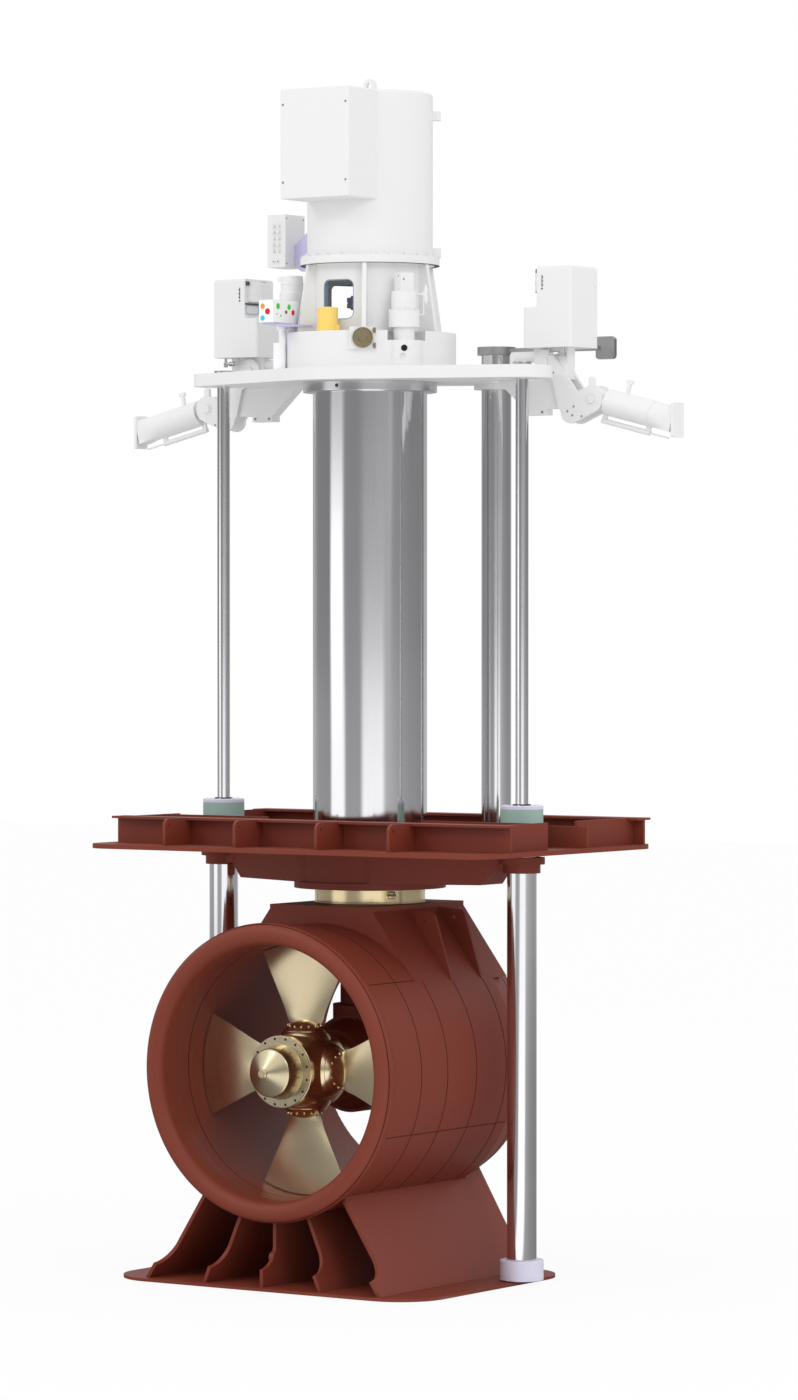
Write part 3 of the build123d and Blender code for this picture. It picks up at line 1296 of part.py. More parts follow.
def gearhouse():
    """Housing round the bevel gears, with a domed tail and a conical front cover."""
    body = lengthways(GEARHOUSE_R, GEARHOUSE_REAR_Y, GEARHOUSE_FRONT_Y)
    tail = revolve(
        make_face(
            Line((0, GEARHOUSE_REAR_Y), (GEARHOUSE_R, GEARHOUSE_REAR_Y))
            + EllipticalCenterArc(
                (0, GEARHOUSE_REAR_Y), GEARHOUSE_R, GEARHOUSE_TAIL, start_angle=0, arc_size=90
            )
            + Line((0, GEARHOUSE_REAR_Y + GEARHOUSE_TAIL), (0, GEARHOUSE_REAR_Y))
        ),
        axis=Axis.Y,
    )
    cone = revolve(
        make_face(
            Polyline(
                (0, GEARHOUSE_FRONT_Y),
                (GEARHOUSE_R - 22, GEARHOUSE_FRONT_Y),
                (FRONT_COVER_R, FRONT_COVER_Y),
                (0, FRONT_COVER_Y),
                close=True,
            )
        ),
        axis=Axis.Y,
    )
    body = body + tail + cone
    body -= lengthways(GEARHOUSE_BORE_R, GEARHOUSE_REAR_Y - 30, GEARHOUSE_FRONT_Y + 30)
    bearing_r = PROP_SHAFT_R + BEARING_H
    body -= lengthways(bearing_r, GEARHOUSE_REAR_Y + 1, FRONT_COVER_Y - 1)
    body = Pos(0, 0, NOZZLE_Z) * body
    body += upright(LEG_FLANGE_R, NOZZLE_Z + GEARHOUSE_R * 0.7, LEG_FLANGE_Z)
    body -= upright(LEG_TUBE_BORE_R, NOZZLE_Z, LEG_FLANGE_Z + 1)
    body -= Pos(0, 0, NOZZLE_Z) * lengthways(
        GEARHOUSE_BORE_R, GEARHOUSE_REAR_Y - 30, GEARHOUSE_FRONT_Y + 30
    )
    screw_circle = GEARHOUSE_R - 2 * COVER_SCREW_R - 2
    for head in ring_of_screws(
        screw_circle, COVER_SCREW_COUNT, GEARHOUSE_FRONT_Y, NOZZLE_Z, COVER_SCREW_R, COVER_SCREW_R
    ):
        body += head
    return body


def shaft_bearings():
    """Bearings of the drive shaft in the azimuth tube and of the propeller shaft."""
    rings = []
    in_tube = AZIMUTH_TUBE_R - AZIMUTH_TUBE_WALL - SEAT
    in_leg = LEG_TUBE_BORE_R - SEAT
    places = ((in_tube, HEAD_TOP_Z + BEARING_H), (in_tube, GEAR_Z - BEARING_H), (in_leg, LEG_FLANGE_Z + 10))
    for outer, z in places:
        rings.append(sleeve(outer, DRIVE_R + FIT, z, z + BEARING_H))
    outer = PROP_SHAFT_R + BEARING_H - SEAT
    for y in (FRONT_COVER_Y + BEARING_H, GEARHOUSE_REAR_Y - BEARING_H / 2):
        ring = lengthways(outer, y, y - BEARING_H, 0, NOZZLE_Z)
        rings.append(ring - lengthways(PROP_SHAFT_R + FIT, y + 1, y - BEARING_H - 1, 0, NOZZLE_Z))
    return Compound(children=rings)


# Power train


def bevel_gear(teeth, mate_teeth):
    """A straight bevel gear about +Z whose apex is the origin, large end away from it."""
    distance = BEVEL_MODULE * mate_teeth / 2
    # teeth are measured square to the pitch cone, so they reach further in this plane
    reach = hypot(teeth, mate_teeth) / mate_teeth
    big = gear_outline(teeth, BEVEL_MODULE, 0.40, reach)
    small = scale(big, BEVEL_SHRINK)
    return loft([Pos(0, 0, distance * BEVEL_SHRINK) * small, Pos(0, 0, distance) * big], ruled=True)


def bevel_pinion():
    gear = bevel_gear(BEVEL_TEETH, CROWN_TEETH)
    gear = Rot(0, 0, 90) * gear
    top = BEVEL_MODULE * CROWN_TEETH / 2
    gear -= upright(DRIVE_R * 0.75, 0, top + 1)
    return Pos(0, 0, NOZZLE_Z) * gear


def crown_wheel():
    """Crown wheel on the propeller shaft, its apex where the two shafts cross."""
    gear = bevel_gear(CROWN_TEETH, BEVEL_TEETH)
    back = BEVEL_MODULE * BEVEL_TEETH / 2
    rim = BEVEL_MODULE * CROWN_TEETH / 2 - 4 * BEVEL_MODULE
    gear += upright(rim, back, back + 40)
    gear -= upright(PROP_SHAFT_R + SEAT, 0, back + 60)
    half_tooth = 180 / CROWN_TEETH
    gear = Rot(-90, 0, 0) * Rot(0, 0, -90 + half_tooth) * gear
    return Pos(0, 0, NOZZLE_Z) * gear


def drive_shaft():
    """Vertical shaft with its flanged coupling in the lantern and the motor's rotor."""
    pinion_top = NOZZLE_Z + BEVEL_MODULE * CROWN_TEETH / 2
    rotor_top = STATOR_Z + STATOR_H
    shaft = upright(DRIVE_R, pinion_top, rotor_top + 60)
    shaft += upright(DRIVE_R * 0.75 - SEAT, pinion_top - 60, pinion_top)
    shaft += upright(COUPLING_R, COUPLING_Z, COUPLING_Z + COUPLING_H)
    shaft -= sleeve(COUPLING_R + 1, COUPLING_R - 8, COUPLING_Z + 28, COUPLING_Z + 36)
    for turn in range(COUPLING_BOLT_COUNT):
        x, y = polar(COUPLING_R * 0.75, turn * 360 / COUPLING_BOLT_COUNT)
        shaft += upright(14, COUPLING_Z - 14, COUPLING_Z + COUPLING_H + 14, x, y)
    shaft += upright(STATOR_BORE_R - ROTOR_GAP, STATOR_Z, rotor_top)
    return shaft


def propeller_shaft():
    front, rear = HUB_REAR_Y, GEARHOUSE_REAR_Y - BEARING_H / 2
    shaft = lengthways(PROP_SHAFT_R, rear, front, 0, NOZZLE_Z)
    return shaft


def about_hub(solid, turn):
    """Turn a piece drawn for the top blade to its own place round the hub."""
    return Pos(*HUB_CENTRE) * Rot(0, turn, 0) * solid


def propeller_hub():
    """Barrel of revolution with four round ports for the blade flanges."""
    rear = HUB_REAR_Y - PROP_Y
    front = HUB_FRONT_Y - PROP_Y
    wire = (
        Line((0, rear), (HUB_REAR_R, rear))
        + ThreePointArc((HUB_REAR_R, rear), (HUB_R, 0), (HUB_FRONT_R - 4, front + HUB_FLANGE_T))
        + Line((HUB_FRONT_R - 4, front + HUB_FLANGE_T), (HUB_FRONT_R, front + HUB_FLANGE_T))
        + Line((HUB_FRONT_R, front + HUB_FLANGE_T), (HUB_FRONT_R, front))
        + Line((HUB_FRONT_R, front), (0, front))
        + Line((0, front), (0, rear))
    )
    barrel = revolve(make_face(wire), axis=Axis.Y)
    hub = Pos(*HUB_CENTRE) * barrel
    for blade in range(BLADE_COUNT):
        turn = blade * 360 / BLADE_COUNT
        hub += about_hub(upright(PORT_R, 0, PORT_TOP), turn)
    for blade in range(BLADE_COUNT):
        turn = blade * 360 / BLADE_COUNT
        pocket = upright(BLADE_FLANGE_R + SEAT, BLADE_FLANGE_FLOOR, PORT_TOP + 40)
        spigot = upright(
            BLADE_SPIGOT_R + FIT,
            BLADE_FLANGE_FLOOR - BLADE_SPIGOT_DEPTH - 2,
            BLADE_FLANGE_FLOOR + 1,
        )
        hub -= about_hub(pocket + spigot, turn)
    return hub


def hub_nose_cone():
    """Stepped nose with a ring of screws through its flange."""
    front = HUB_FRONT_Y
    wire = Polyline(
        (0, front),
        (HUB_FRONT_R - 3, front),
        (HUB_FRONT_R - 3, front - 12),
        (NOSE_RING_R + 14, front - 12),
        (NOSE_RING_R, front - 26),
        (NOSE_RING_R, NOSE_RING_END_Y + 10),
        (NOSE_RING_R - 10, NOSE_RING_END_Y),
        (NOSE_CONE_R - 16, NOSE_RING_END_Y),
        (NOSE_TIP_R, NOSE_TIP_Y + 8),
        (NOSE_TIP_R - 8, NOSE_TIP_Y),
        (0, NOSE_TIP_Y),
        close=True,
    )
    cone = Pos(0, 0, NOZZLE_Z) * revolve(make_face(wire), axis=Axis.Y)
    circle = (HUB_FRONT_R + NOSE_RING_R) / 2 + 10
    for turn in range(NOSE_SCREW_COUNT):
        x, rise = polar(circle, (turn + 0.5) * 360 / NOSE_SCREW_COUNT)
        cone -= lengthways(NOSE_SCREW_R, front - 6, front - 20, x, NOZZLE_Z + rise)
    return cone


def blade_section(radius):
    """Cambered section of the top blade in a plane square to its pitch axis."""
    share = (radius - BLADE_FLANGE_TOP) / (PROP_R - BLADE_FLANGE_TOP)
    chord = BLADE_ROOT_CHORD + (BLADE_TIP_CHORD - BLADE_ROOT_CHORD) * share
    thick = BLADE_TIP_T + (BLADE_ROOT_T - BLADE_TIP_T) * max(0.0, 1 - share) ** 1.6
    pitch = BLADE_ROOT_PITCH + (BLADE_TIP_PITCH - BLADE_ROOT_PITCH) * share
    half = chord / 2
    face = make_face(
        ThreePointArc((-half, 0), (0, thick * (0.5 + BLADE_CAMBER)), (half, 0))
        + ThreePointArc((half, 0), (0, -thick * (0.5 - BLADE_CAMBER)), (-half, 0))
    )
    return Pos(0, 0, radius) * Rot(0, 0, pitch) * face


def propeller_blade(turn):
    """Blade with a round root flange that turns in its port, its tip cut to a sphere."""
    stations = 5
    root = BLADE_FLANGE_TOP - 4
    tip = PROP_R + 12
    radii = [root + (tip - root) * step / (stations - 1) for step in range(stations)]
    fan = loft([blade_section(r) for r in radii])
    fan &= Sphere(PROP_R)
    flange = upright(BLADE_FLANGE_R, BLADE_FLANGE_FLOOR + SEAT, BLADE_FLANGE_TOP)
    flange = chamfer(flange.edges().group_by(Axis.Z)[-1], 6)
    flange += upright(
        BLADE_SPIGOT_R, BLADE_FLANGE_FLOOR - BLADE_SPIGOT_DEPTH, BLADE_FLANGE_FLOOR + 1
    )
    blade = fan + flange
    for bolt in range(BLADE_BOLT_COUNT):
        x, y = polar(BLADE_FLANGE_R * 0.8, BLADE_ROOT_PITCH + (bolt + 0.5) * 360 / BLADE_BOLT_COUNT)
        blade += upright(
            BLADE_BOLT_R, BLADE_FLANGE_TOP - 4, BLADE_FLANGE_TOP + BLADE_BOLT_H, x, y
        )
    return about_hub(blade, turn)


def build():
    os.makedirs("parts", exist_ok=True)
    save("foundation_plate", foundation_plate())
    save("foundation_girders", foundation_girders())
    save("stem_seal_ring", stem_seal_ring())
    save("lift_barrels", both_sides(lift_barrel()))
    save("barrel_glands", both_sides(barrel_gland()))
    save("gland_rings", both_sides(gland_ring()))
    save("barrel_foot_caps", both_sides(barrel_foot_cap()))
    save("guide_column", guide_column())
    save("column_head_stay", column_head_stay())

    save("carriage_plate", carriage_plate())
    save("stem_collar", stem_collar())
    save("stem_tube", stem_tube())
    save("lower_guide_arm", lower_guide_arm())
    rods = [piston_rod(), mirrored(piston_rod()), rod_nut(), mirrored(rod_nut())]
    save("piston_rods", Compound(children=rods))
    save("column_bush", column_bush())
    save("steering_housing", steering_housing())
    motors = [steering_motor(angle) for angle in STEERING_ANGLES]
    save("steering_motors", Compound(children=motors))
    save("inspection_cover", inspection_cover())
    save("oil_filler_cap", oil_filler_cap())
    save("azimuth_bearings", azimuth_bearings())
    save("lantern", lantern())
    save("motor_frame", motor_frame())
    save("motor_stator", motor_stator())
    save("terminal_box", terminal_box())
    save("terminal_box_cover", terminal_box_cover())
    save("junction_box", junction_box())
    save("junction_bracket", junction_bracket())
    save("control_box", Compound(children=[control_box(), control_post()]))
    save("control_lamps", control_lamps())
    save("control_stand", control_stand())
    save("enclosures", both_sides(enclosure()))
    save("enclosure_units", both_sides(enclosure_unit()))
    save("lock_frames", both_sides(lock_frame()))
    save("lock_strut_right", lock_strut())
    save("lock_strut_left", mirrored(lock_strut()))
    save("lock_foot_right", lock_foot())
    save("lock_foot_left", mirrored(lock_foot()))

    save("azimuth_tube", azimuth_tube())
    save("steering_ring_gear", steering_ring_gear())
    for number, angle in enumerate(STEERING_ANGLES, 1):
        save(f"steering_pinion_{number}", steering_pinion(angle))
    save("azimuth_ring", azimuth_ring())
    save("nozzle_head_box", nozzle_head_box())
    save("nozzle_shell", nozzle_shell())
    save("nozzle_legs", nozzle_legs())
    save("closing_plate", closing_plate())
    save("strut_leg", strut_leg())
    save("gearhouse", gearhouse())
    save("shaft_bearings", shaft_bearings())
    save("bevel_pinion", bevel_pinion())
    save("crown_wheel", crown_wheel())
    save("drive_shaft", drive_shaft())
    save("propeller_shaft", propeller_shaft())
    save("propeller_hub", propeller_hub())
    save("hub_nose_cone", hub_nose_cone())
    for number in range(1, BLADE_COUNT + 1):
        turn = (number - 1) * 360 / BLADE_COUNT
        save(f"propeller_blade_{number}", propeller_blade(turn))


build()
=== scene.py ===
"""Looks of the retractable azimuth thruster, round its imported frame."""
import json
from math import cos, pi, radians, sin, sqrt, tan

import bmesh
import bpy
from mathutils import Matrix, Vector


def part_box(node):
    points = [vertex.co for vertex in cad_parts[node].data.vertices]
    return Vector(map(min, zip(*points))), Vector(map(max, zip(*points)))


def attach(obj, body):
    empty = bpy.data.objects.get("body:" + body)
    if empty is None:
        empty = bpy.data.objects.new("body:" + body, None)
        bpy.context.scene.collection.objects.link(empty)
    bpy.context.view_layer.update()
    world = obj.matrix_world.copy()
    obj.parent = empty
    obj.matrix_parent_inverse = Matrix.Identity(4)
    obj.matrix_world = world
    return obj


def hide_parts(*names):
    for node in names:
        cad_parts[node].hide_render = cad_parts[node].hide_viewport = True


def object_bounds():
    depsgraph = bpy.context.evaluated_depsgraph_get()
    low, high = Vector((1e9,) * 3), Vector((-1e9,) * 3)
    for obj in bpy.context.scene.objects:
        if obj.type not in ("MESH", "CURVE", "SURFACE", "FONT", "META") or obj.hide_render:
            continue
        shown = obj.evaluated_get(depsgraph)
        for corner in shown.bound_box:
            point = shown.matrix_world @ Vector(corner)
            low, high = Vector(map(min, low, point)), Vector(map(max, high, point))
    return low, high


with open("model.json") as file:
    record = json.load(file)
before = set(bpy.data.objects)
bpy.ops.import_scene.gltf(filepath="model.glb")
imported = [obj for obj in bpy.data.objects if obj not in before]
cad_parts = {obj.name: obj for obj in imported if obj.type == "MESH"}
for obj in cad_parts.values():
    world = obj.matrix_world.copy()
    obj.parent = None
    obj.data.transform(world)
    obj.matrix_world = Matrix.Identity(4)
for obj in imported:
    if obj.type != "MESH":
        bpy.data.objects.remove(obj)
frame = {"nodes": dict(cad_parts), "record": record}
cad_box = [list(corner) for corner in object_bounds()]
nodes = frame["nodes"]


# Graphs: one way to write shader and geometry trees


class Wire:
    """An output socket that takes part in Python expressions."""

    def __init__(self, graph, socket):
        self.graph = graph
        self.socket = socket

    def maths(self, operation, other=0.0):
        made = self.graph.add("ShaderNodeMath", {0: self, 1: other}, operation=operation)
        return made["Value"]

    def __add__(self, other):
        return self.maths("ADD", other)

    def __mul__(self, other):
        return self.maths("MULTIPLY", other)

    def __truediv__(self, other):
        return self.maths("DIVIDE", other)

    def at_least(self, other):
        return self.maths("MAXIMUM", other)


class Made:
    """A node that was added; its outputs are taken by name or number."""

    def __init__(self, graph, node):
        self.graph = graph
        self.node = node

    def __getitem__(self, key):
        return Wire(self.graph, self.node.outputs[key])


# Sockets of the Mix node that work on colours
MIX_SHARE, MIX_FIRST, MIX_SECOND, MIX_COLOUR = 0, 6, 7, 2


class Graph:
    """A node tree with one method that adds any node."""

    def __init__(self, tree):
        self.tree = tree

    def add(self, kind, inputs=None, **settings):
        node = self.tree.nodes.new(kind)
        for key, value in settings.items():
            if key == "stops":
                self.set_stops(node.color_ramp, value)
            else:
                setattr(node, key, value)
        for key, value in (inputs or {}).items():
            if isinstance(value, Wire):
                self.tree.links.new(value.socket, node.inputs[key])
            else:
                node.inputs[key].default_value = value
        return Made(self, node)

    def set_stops(self, ramp, stops):
        while len(ramp.elements) < len(stops):
            ramp.elements.new(1.0)
        for element, (position, colour) in zip(ramp.elements, stops):
            element.position = position
            element.color = colour

    def mixed(self, first, second, share):
        inputs = {MIX_SHARE: share, MIX_FIRST: first, MIX_SECOND: second}
        return self.add("ShaderNodeMix", inputs, data_type="RGBA")[MIX_COLOUR]

    def noise(self, place, scale, detail):
        inputs = {"Vector": place, "Scale": scale, "Detail": detail}
        return self.add("ShaderNodeTexNoise", inputs)["Fac"]

    def stretched(self, place, factors):
        return self.add("ShaderNodeMapping", {"Vector": place, "Scale": factors})["Vector"]

    def bumped(self, height, distance):
        inputs = {"Height": height, "Distance": distance, "Strength": 1.0}
        return self.add("ShaderNodeBump", inputs)["Normal"]


def opaque(red, green, blue):
    """A colour as seen on screen, from 0 to 255, as a linear socket value (the sRGB curve)."""
    linear = []
    for level in (red, green, blue):
        share = level / 255
        linear.append(share / 12.92 if share <= 0.04045 else ((share + 0.055) / 1.055) ** 2.4)
    return (*linear, 1.0)


def shade(colour, factor=1.0):
    """A screen colour as a socket value, made lighter or darker."""
    return (*(channel * factor for channel in opaque(*colour)[:3]), 1.0)


def grey(level):
    return (level, level, level, 1.0)


# Finishes

finishes = {}


def new_finish(name):
    """Keeps a new finish by its name; gives its graph and the object's own coordinates."""
    finishes[name] = material = bpy.data.materials.new(name)
    material.use_nodes = True
    material.node_tree.nodes.clear()
    graph = Graph(material.node_tree)
    return graph, graph.add("ShaderNodeTexCoord")["Object"]


def close_finish(graph, inputs):
    shader = graph.add("ShaderNodeBsdfPrincipled", inputs)
    graph.add("ShaderNodeOutputMaterial", {"Surface": shader["BSDF"]})


def sprayed_paint(name, colour, roughness, mottle=0.08, peel=0.00025, shine=0.5):
    """Sprayed paint: faint cloudy tone, orange peel and slightly uneven gloss."""
    graph, place = new_finish(name)
    clouds = graph.noise(place, 1.7, 5.0)
    specks = graph.noise(place, 38.0, 3.0)
    grain = graph.noise(place, 260.0, 2.0)
    tone = clouds * 0.65 + specks * 0.35
    close_finish(graph, {
        "Base Color": graph.mixed(shade(colour, 1 - mottle), shade(colour, 1 + mottle), tone),
        "Roughness": specks * 0.14 + (roughness - 0.07),
        "Normal": graph.bumped(grain, peel),
        "Specular IOR Level": shine,
    })


def hard_chrome(name, colour, roughness):
    """Ground and plated steel with faint lines along its length."""
    graph, place = new_finish(name)
    lines = graph.noise(graph.stretched(place, (60.0, 60.0, 0.6)), 3.0, 4.0)
    haze = graph.noise(place, 2.2, 3.0)
    close_finish(graph, {
        "Base Color": graph.mixed(shade(colour, 0.93), shade(colour, 1.05), haze),
        "Metallic": 1.0,
        "Roughness": lines * 0.06 + (roughness - 0.03),
        "Normal": graph.bumped(lines, 0.00002),
    })


def cast_bronze(name, colour, roughness, dark=0.72):
    """Polished casting: warm metal with cloudy tone and fine polishing marks."""
    graph, place = new_finish(name)
    clouds = graph.noise(place, 4.5, 5.0)
    marks = graph.noise(graph.stretched(place, (1.0, 1.0, 7.0)), 160.0, 2.0)
    close_finish(graph, {
        "Base Color": graph.mixed(shade(colour, dark), shade(colour), clouds * 1.3),
        "Metallic": 1.0,
        "Roughness": marks * 0.12 + clouds * 0.08 + (roughness - 0.10),
        "Normal": graph.bumped(marks, 0.00006),
    })


def machined_steel(name, colour, roughness):
    """Turned or milled steel with close tool lines."""
    graph, place = new_finish(name)
    lines = graph.noise(graph.stretched(place, (1.0, 1.0, 30.0)), 14.0, 3.0)
    clouds = graph.noise(place, 3.0, 3.0)
    close_finish(graph, {
        "Base Color": graph.mixed(shade(colour, 0.8), shade(colour, 1.1), clouds),
        "Metallic": 1.0,
        "Roughness": lines * 0.15 + (roughness - 0.07),
        "Normal": graph.bumped(lines, 0.0001),
    })


def moulded(name, colour, roughness, glow=0.0):
    """Moulded plastic or rubber with a fine even grain."""
    graph, place = new_finish(name)
    grain = graph.noise(place, 420.0, 2.0)
    clouds = graph.noise(place, 12.0, 2.0)
    inputs = {
        "Base Color": graph.mixed(shade(colour, 0.94), shade(colour, 1.04), clouds),
        "Roughness": grain * 0.10 + (roughness - 0.05),
        "Normal": graph.bumped(grain, 0.0001),
    }
    if glow:
        inputs["Emission Color"] = shade(colour)
        inputs["Emission Strength"] = glow
    close_finish(graph, inputs)


sprayed_paint("red_brown_paint", (126, 56, 41), 0.48, 0.06, shine=0.25)
# The dark brown of the nozzle's joint lines, which also paints a strip of shade on the lip
sprayed_paint("joint_and_shade_line_paint", (50, 20, 14), 0.60, 0.10, shine=0.1)
sprayed_paint("white_paint", (236, 236, 236), 0.42, 0.012, 0.00015, 0.3)
sprayed_paint("box_paint", (251, 251, 253), 0.40, 0.01)
sprayed_paint("lavender_paint", (205, 200, 235), 0.45, 0.02)
sprayed_paint("pale_paint", (226, 223, 243), 0.40, 0.02)
sprayed_paint("green_paint", (160, 190, 181), 0.45, 0.03)
sprayed_paint("yellow_paint", (252, 216, 112), 0.40, 0.03)
sprayed_paint("window_edge_paint", (150, 166, 188), 0.45, 0.03)
sprayed_paint("shaft_paint", (150, 166, 190), 0.45, 0.03)

hard_chrome("hard_chrome", (224, 224, 226), 0.09)
hard_chrome("collar_steel", (220, 220, 222), 0.20)
hard_chrome("barrel_chrome", (226, 226, 228), 0.10)
machined_steel("bare_steel", (140, 140, 142), 0.38)
machined_steel("stay_steel", (184, 184, 186), 0.34)
machined_steel("pale_steel", (214, 214, 216), 0.30)
machined_steel("laminated_steel", (110, 110, 114), 0.55)

cast_bronze("bronze", (232, 214, 178), 0.22, 0.86)
cast_bronze("hub_bronze", (226, 206, 166), 0.24, 0.90)
cast_bronze("nose_bronze", (206, 192, 160), 0.27, 0.88)
cast_bronze("azimuth_ring_bronze", (236, 216, 172), 0.18, 0.88)
cast_bronze("dull_bronze", (160, 147, 116), 0.42)

moulded("seal_rubber", (34, 34, 34), 0.65)
moulded("black_plug", (16, 16, 16), 0.8)
moulded("dark_fitting", (58, 58, 62), 0.45)
# A bluish dark grey of painted shade for the switch slots, the flange gap and the marks round the notch
# drums
moulded("painted_shade", (72, 74, 80), 0.60)
moulded("grey_fitting", (138, 138, 143), 0.5)
for tint, colour, glow in (
    ("red", (206, 10, 16), 0.12),
    ("dark_red", (150, 10, 30), 0.12),
    ("orange", (236, 148, 30), 0.12),
    ("cyan", (24, 205, 208), 0.12),
    ("green", (14, 200, 36), 0.15),
):
    moulded("lamp_" + tint, colour, 0.30, glow)

# A slot's own finish has the slot's name; the lamps' slot and these nodes take another
finishes["lamp_plastic"] = finishes["lamp_red"]
NODE_FINISHES = {
    "azimuth_ring": "azimuth_ring_bronze",
    "column_head_stay": "stay_steel",
    "drive_shaft": "shaft_paint",
    "control_box": "box_paint",
}
for part in frame["record"]["subparts"]:
    materials = nodes[part["node"]].data.materials
    materials.clear()
    materials.append(finishes[NODE_FINISHES.get(part["node"], part["material_slot"])])


# Shapes: mesh code for the pieces that replace or complete CAD nodes

FRONT = (0, -1, 0)
BACK = (0, 1, 0)
RIGHT = (1, 0, 0)
UP = (0, 0, 1)
SIDES = (-1, 1)


def heading(degrees):
    """A level direction, turned from +X."""
    turn = radians(degrees)
    return Vector((cos(turn), sin(turn), 0))


def facing(place, outward, up=UP):
    """A matrix at place whose Z points outward and whose Y is upward."""
    out = Vector(outward).normalized()
    right = Vector(up).cross(out).normalized()
    turn = Matrix((right, out.cross(right), out)).transposed().to_4x4()
    return Matrix.Translation(place) @ turn


def at(x, y, z=0.0, turn=0.0):
    """An upright matrix at a point, turned about Z by degrees."""
    return Matrix.Translation((x, y, z)) @ Matrix.Rotation(radians(turn), 4, "Z")


def held(points, reach):
    """The points, with one more near each end of every long run for even shading."""
    kept = [points[0]]
    for start, end in zip(points, points[1:]):
        long = (end - start).length
        if long > 6 * reach:
            kept.append(start + (end - start) * (reach / long))
            kept.append(end + (start - end) * (reach / long))
        kept.append(end)
    return kept


def softened(profile, size):
    """The same run of points with each inner corner eased over the given size."""
    steps = 3
    largest_share = 0.48
    path = [Vector(point) for point in profile]
    eased = [path[0]]
    for before, corner, after in zip(path, path[1:], path[2:]):
        first = min(size, (corner - before).length * largest_share)
        second = min(size, (after - corner).length * largest_share)
        start = corner + (before - corner).normalized() * first
        end = corner + (after - corner).normalized() * second
        for step in range(steps + 1):
            t = step / steps
            eased.append(start * (1 - t) ** 2 + corner * 2 * t * (1 - t) + end * t ** 2)
    eased.append(path[-1])
    return [tuple(point) for point in held(eased, size)]


def rounded_outline(width, height, corner):
    """Points round a rectangle with rounded corners, about the middle."""
    steps = 6
    points = []
    for quarter, (sx, sy) in enumerate([(1, 1), (-1, 1), (-1, -1), (1, -1)]):
        for step in range(steps + 1):
            angle = pi / 2 * (quarter + step / steps)
            x = sx * (width / 2 - corner) + corner * cos(angle)
            y = sy * (height / 2 - corner) + corner * sin(angle)
            points.append((x, y))
    return points


def in_scene(name, data):
    """A new object with the given data, in the scene."""
    made = bpy.data.objects.new(name, data)
    bpy.context.scene.collection.objects.link(made)
    return made


class Shape:
    """Mesh of one piece, built part by part."""

    def __init__(self):
        self.mesh = bmesh.new()

    def skin(self, rings, closed=False):
        """Joins rings of points with faces; a ring of one point closes an end."""
        made = [[self.mesh.verts.new(point) for point in ring] for ring in rings]
        pairs = list(zip(made, made[1:]))
        if closed:
            pairs.append((made[-1], made[0]))
        for first, second in pairs:
            for k in range(max(len(first), len(second))):
                corners = [first[k % len(first)], first[(k + 1) % len(first)]]
                corners += [second[(k + 1) % len(second)], second[k % len(second)]]
                self.mesh.faces.new(list(dict.fromkeys(corners)))

    def turned(self, profile, place=Matrix(), segments=64, closed=False):
        """A turned body from (radius, height) pairs along the Z of place."""
        rings = []
        for radius, height in profile:
            turns = [2 * pi * k / segments for k in range(segments if radius > 0 else 1)]
            points = [(radius * cos(turn), radius * sin(turn), height) for turn in turns]
            rings.append([place @ Vector(point) for point in points])
        self.skin(rings, closed)

    def drum(self, radius, low, high, place=Matrix(), edge=0.002, segments=48):
        """A turned drum with eased rims."""
        profile = softened([(0, low), (radius, low), (radius, high), (0, high)], edge)
        self.turned(profile, place, segments)

    def sleeve(self, outer, inner, low, high, place=Matrix(), edge=0.002, segments=64):
        """A turned ring with eased rims."""
        start = (outer, (low + high) / 2)
        corners = [start, (outer, high), (inner, high), (inner, low), (outer, low), start]
        self.turned(softened(corners, edge)[:-1], place, segments, closed=True)

    def block(self, size, place, edge=0.003, steps=2):
        """A block with eased edges."""
        scaled = place @ Matrix.Diagonal((*size, 1.0))
        made = bmesh.ops.create_cube(self.mesh, size=1.0, matrix=scaled)
        edges = list(dict.fromkeys(line for vert in made["verts"] for line in vert.link_edges))
        bmesh.ops.bevel(
            self.mesh, geom=edges, offset=edge, segments=steps, profile=0.5, affect="EDGES"
        )

    def finished(self, name):
        """The mesh with all faces outward; the shape is used up."""
        bmesh.ops.recalc_face_normals(self.mesh, faces=self.mesh.faces)
        data = bpy.data.meshes.new(name)
        self.mesh.to_mesh(data)
        self.mesh.free()
        return data

    def piece(
        self, name, finish="white_paint", slot_name=None, body="carriage", node=None, sharp=35
    ):
        """The finished object, riding on its body, and the CAD node that it replaces."""
        made = placed(name, self.finished(name), finish, body, sharp)
        if node:
            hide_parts(node)


def placed(name, data, finish, body, sharp=35):
    """Puts a mesh in the scene as a piece on a body, smooth but for its sharp edges."""
    data.name = name
    data.materials.clear()
    data.materials.append(finishes[finish])
    data.polygons.foreach_set("use_smooth", [True] * len(data.polygons))
    data.set_sharp_from_angle(angle=radians(sharp))
    made = in_scene(name, data)
    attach(made, body)
    return made


# Repeats: geometry trees that lay out copies of one small part


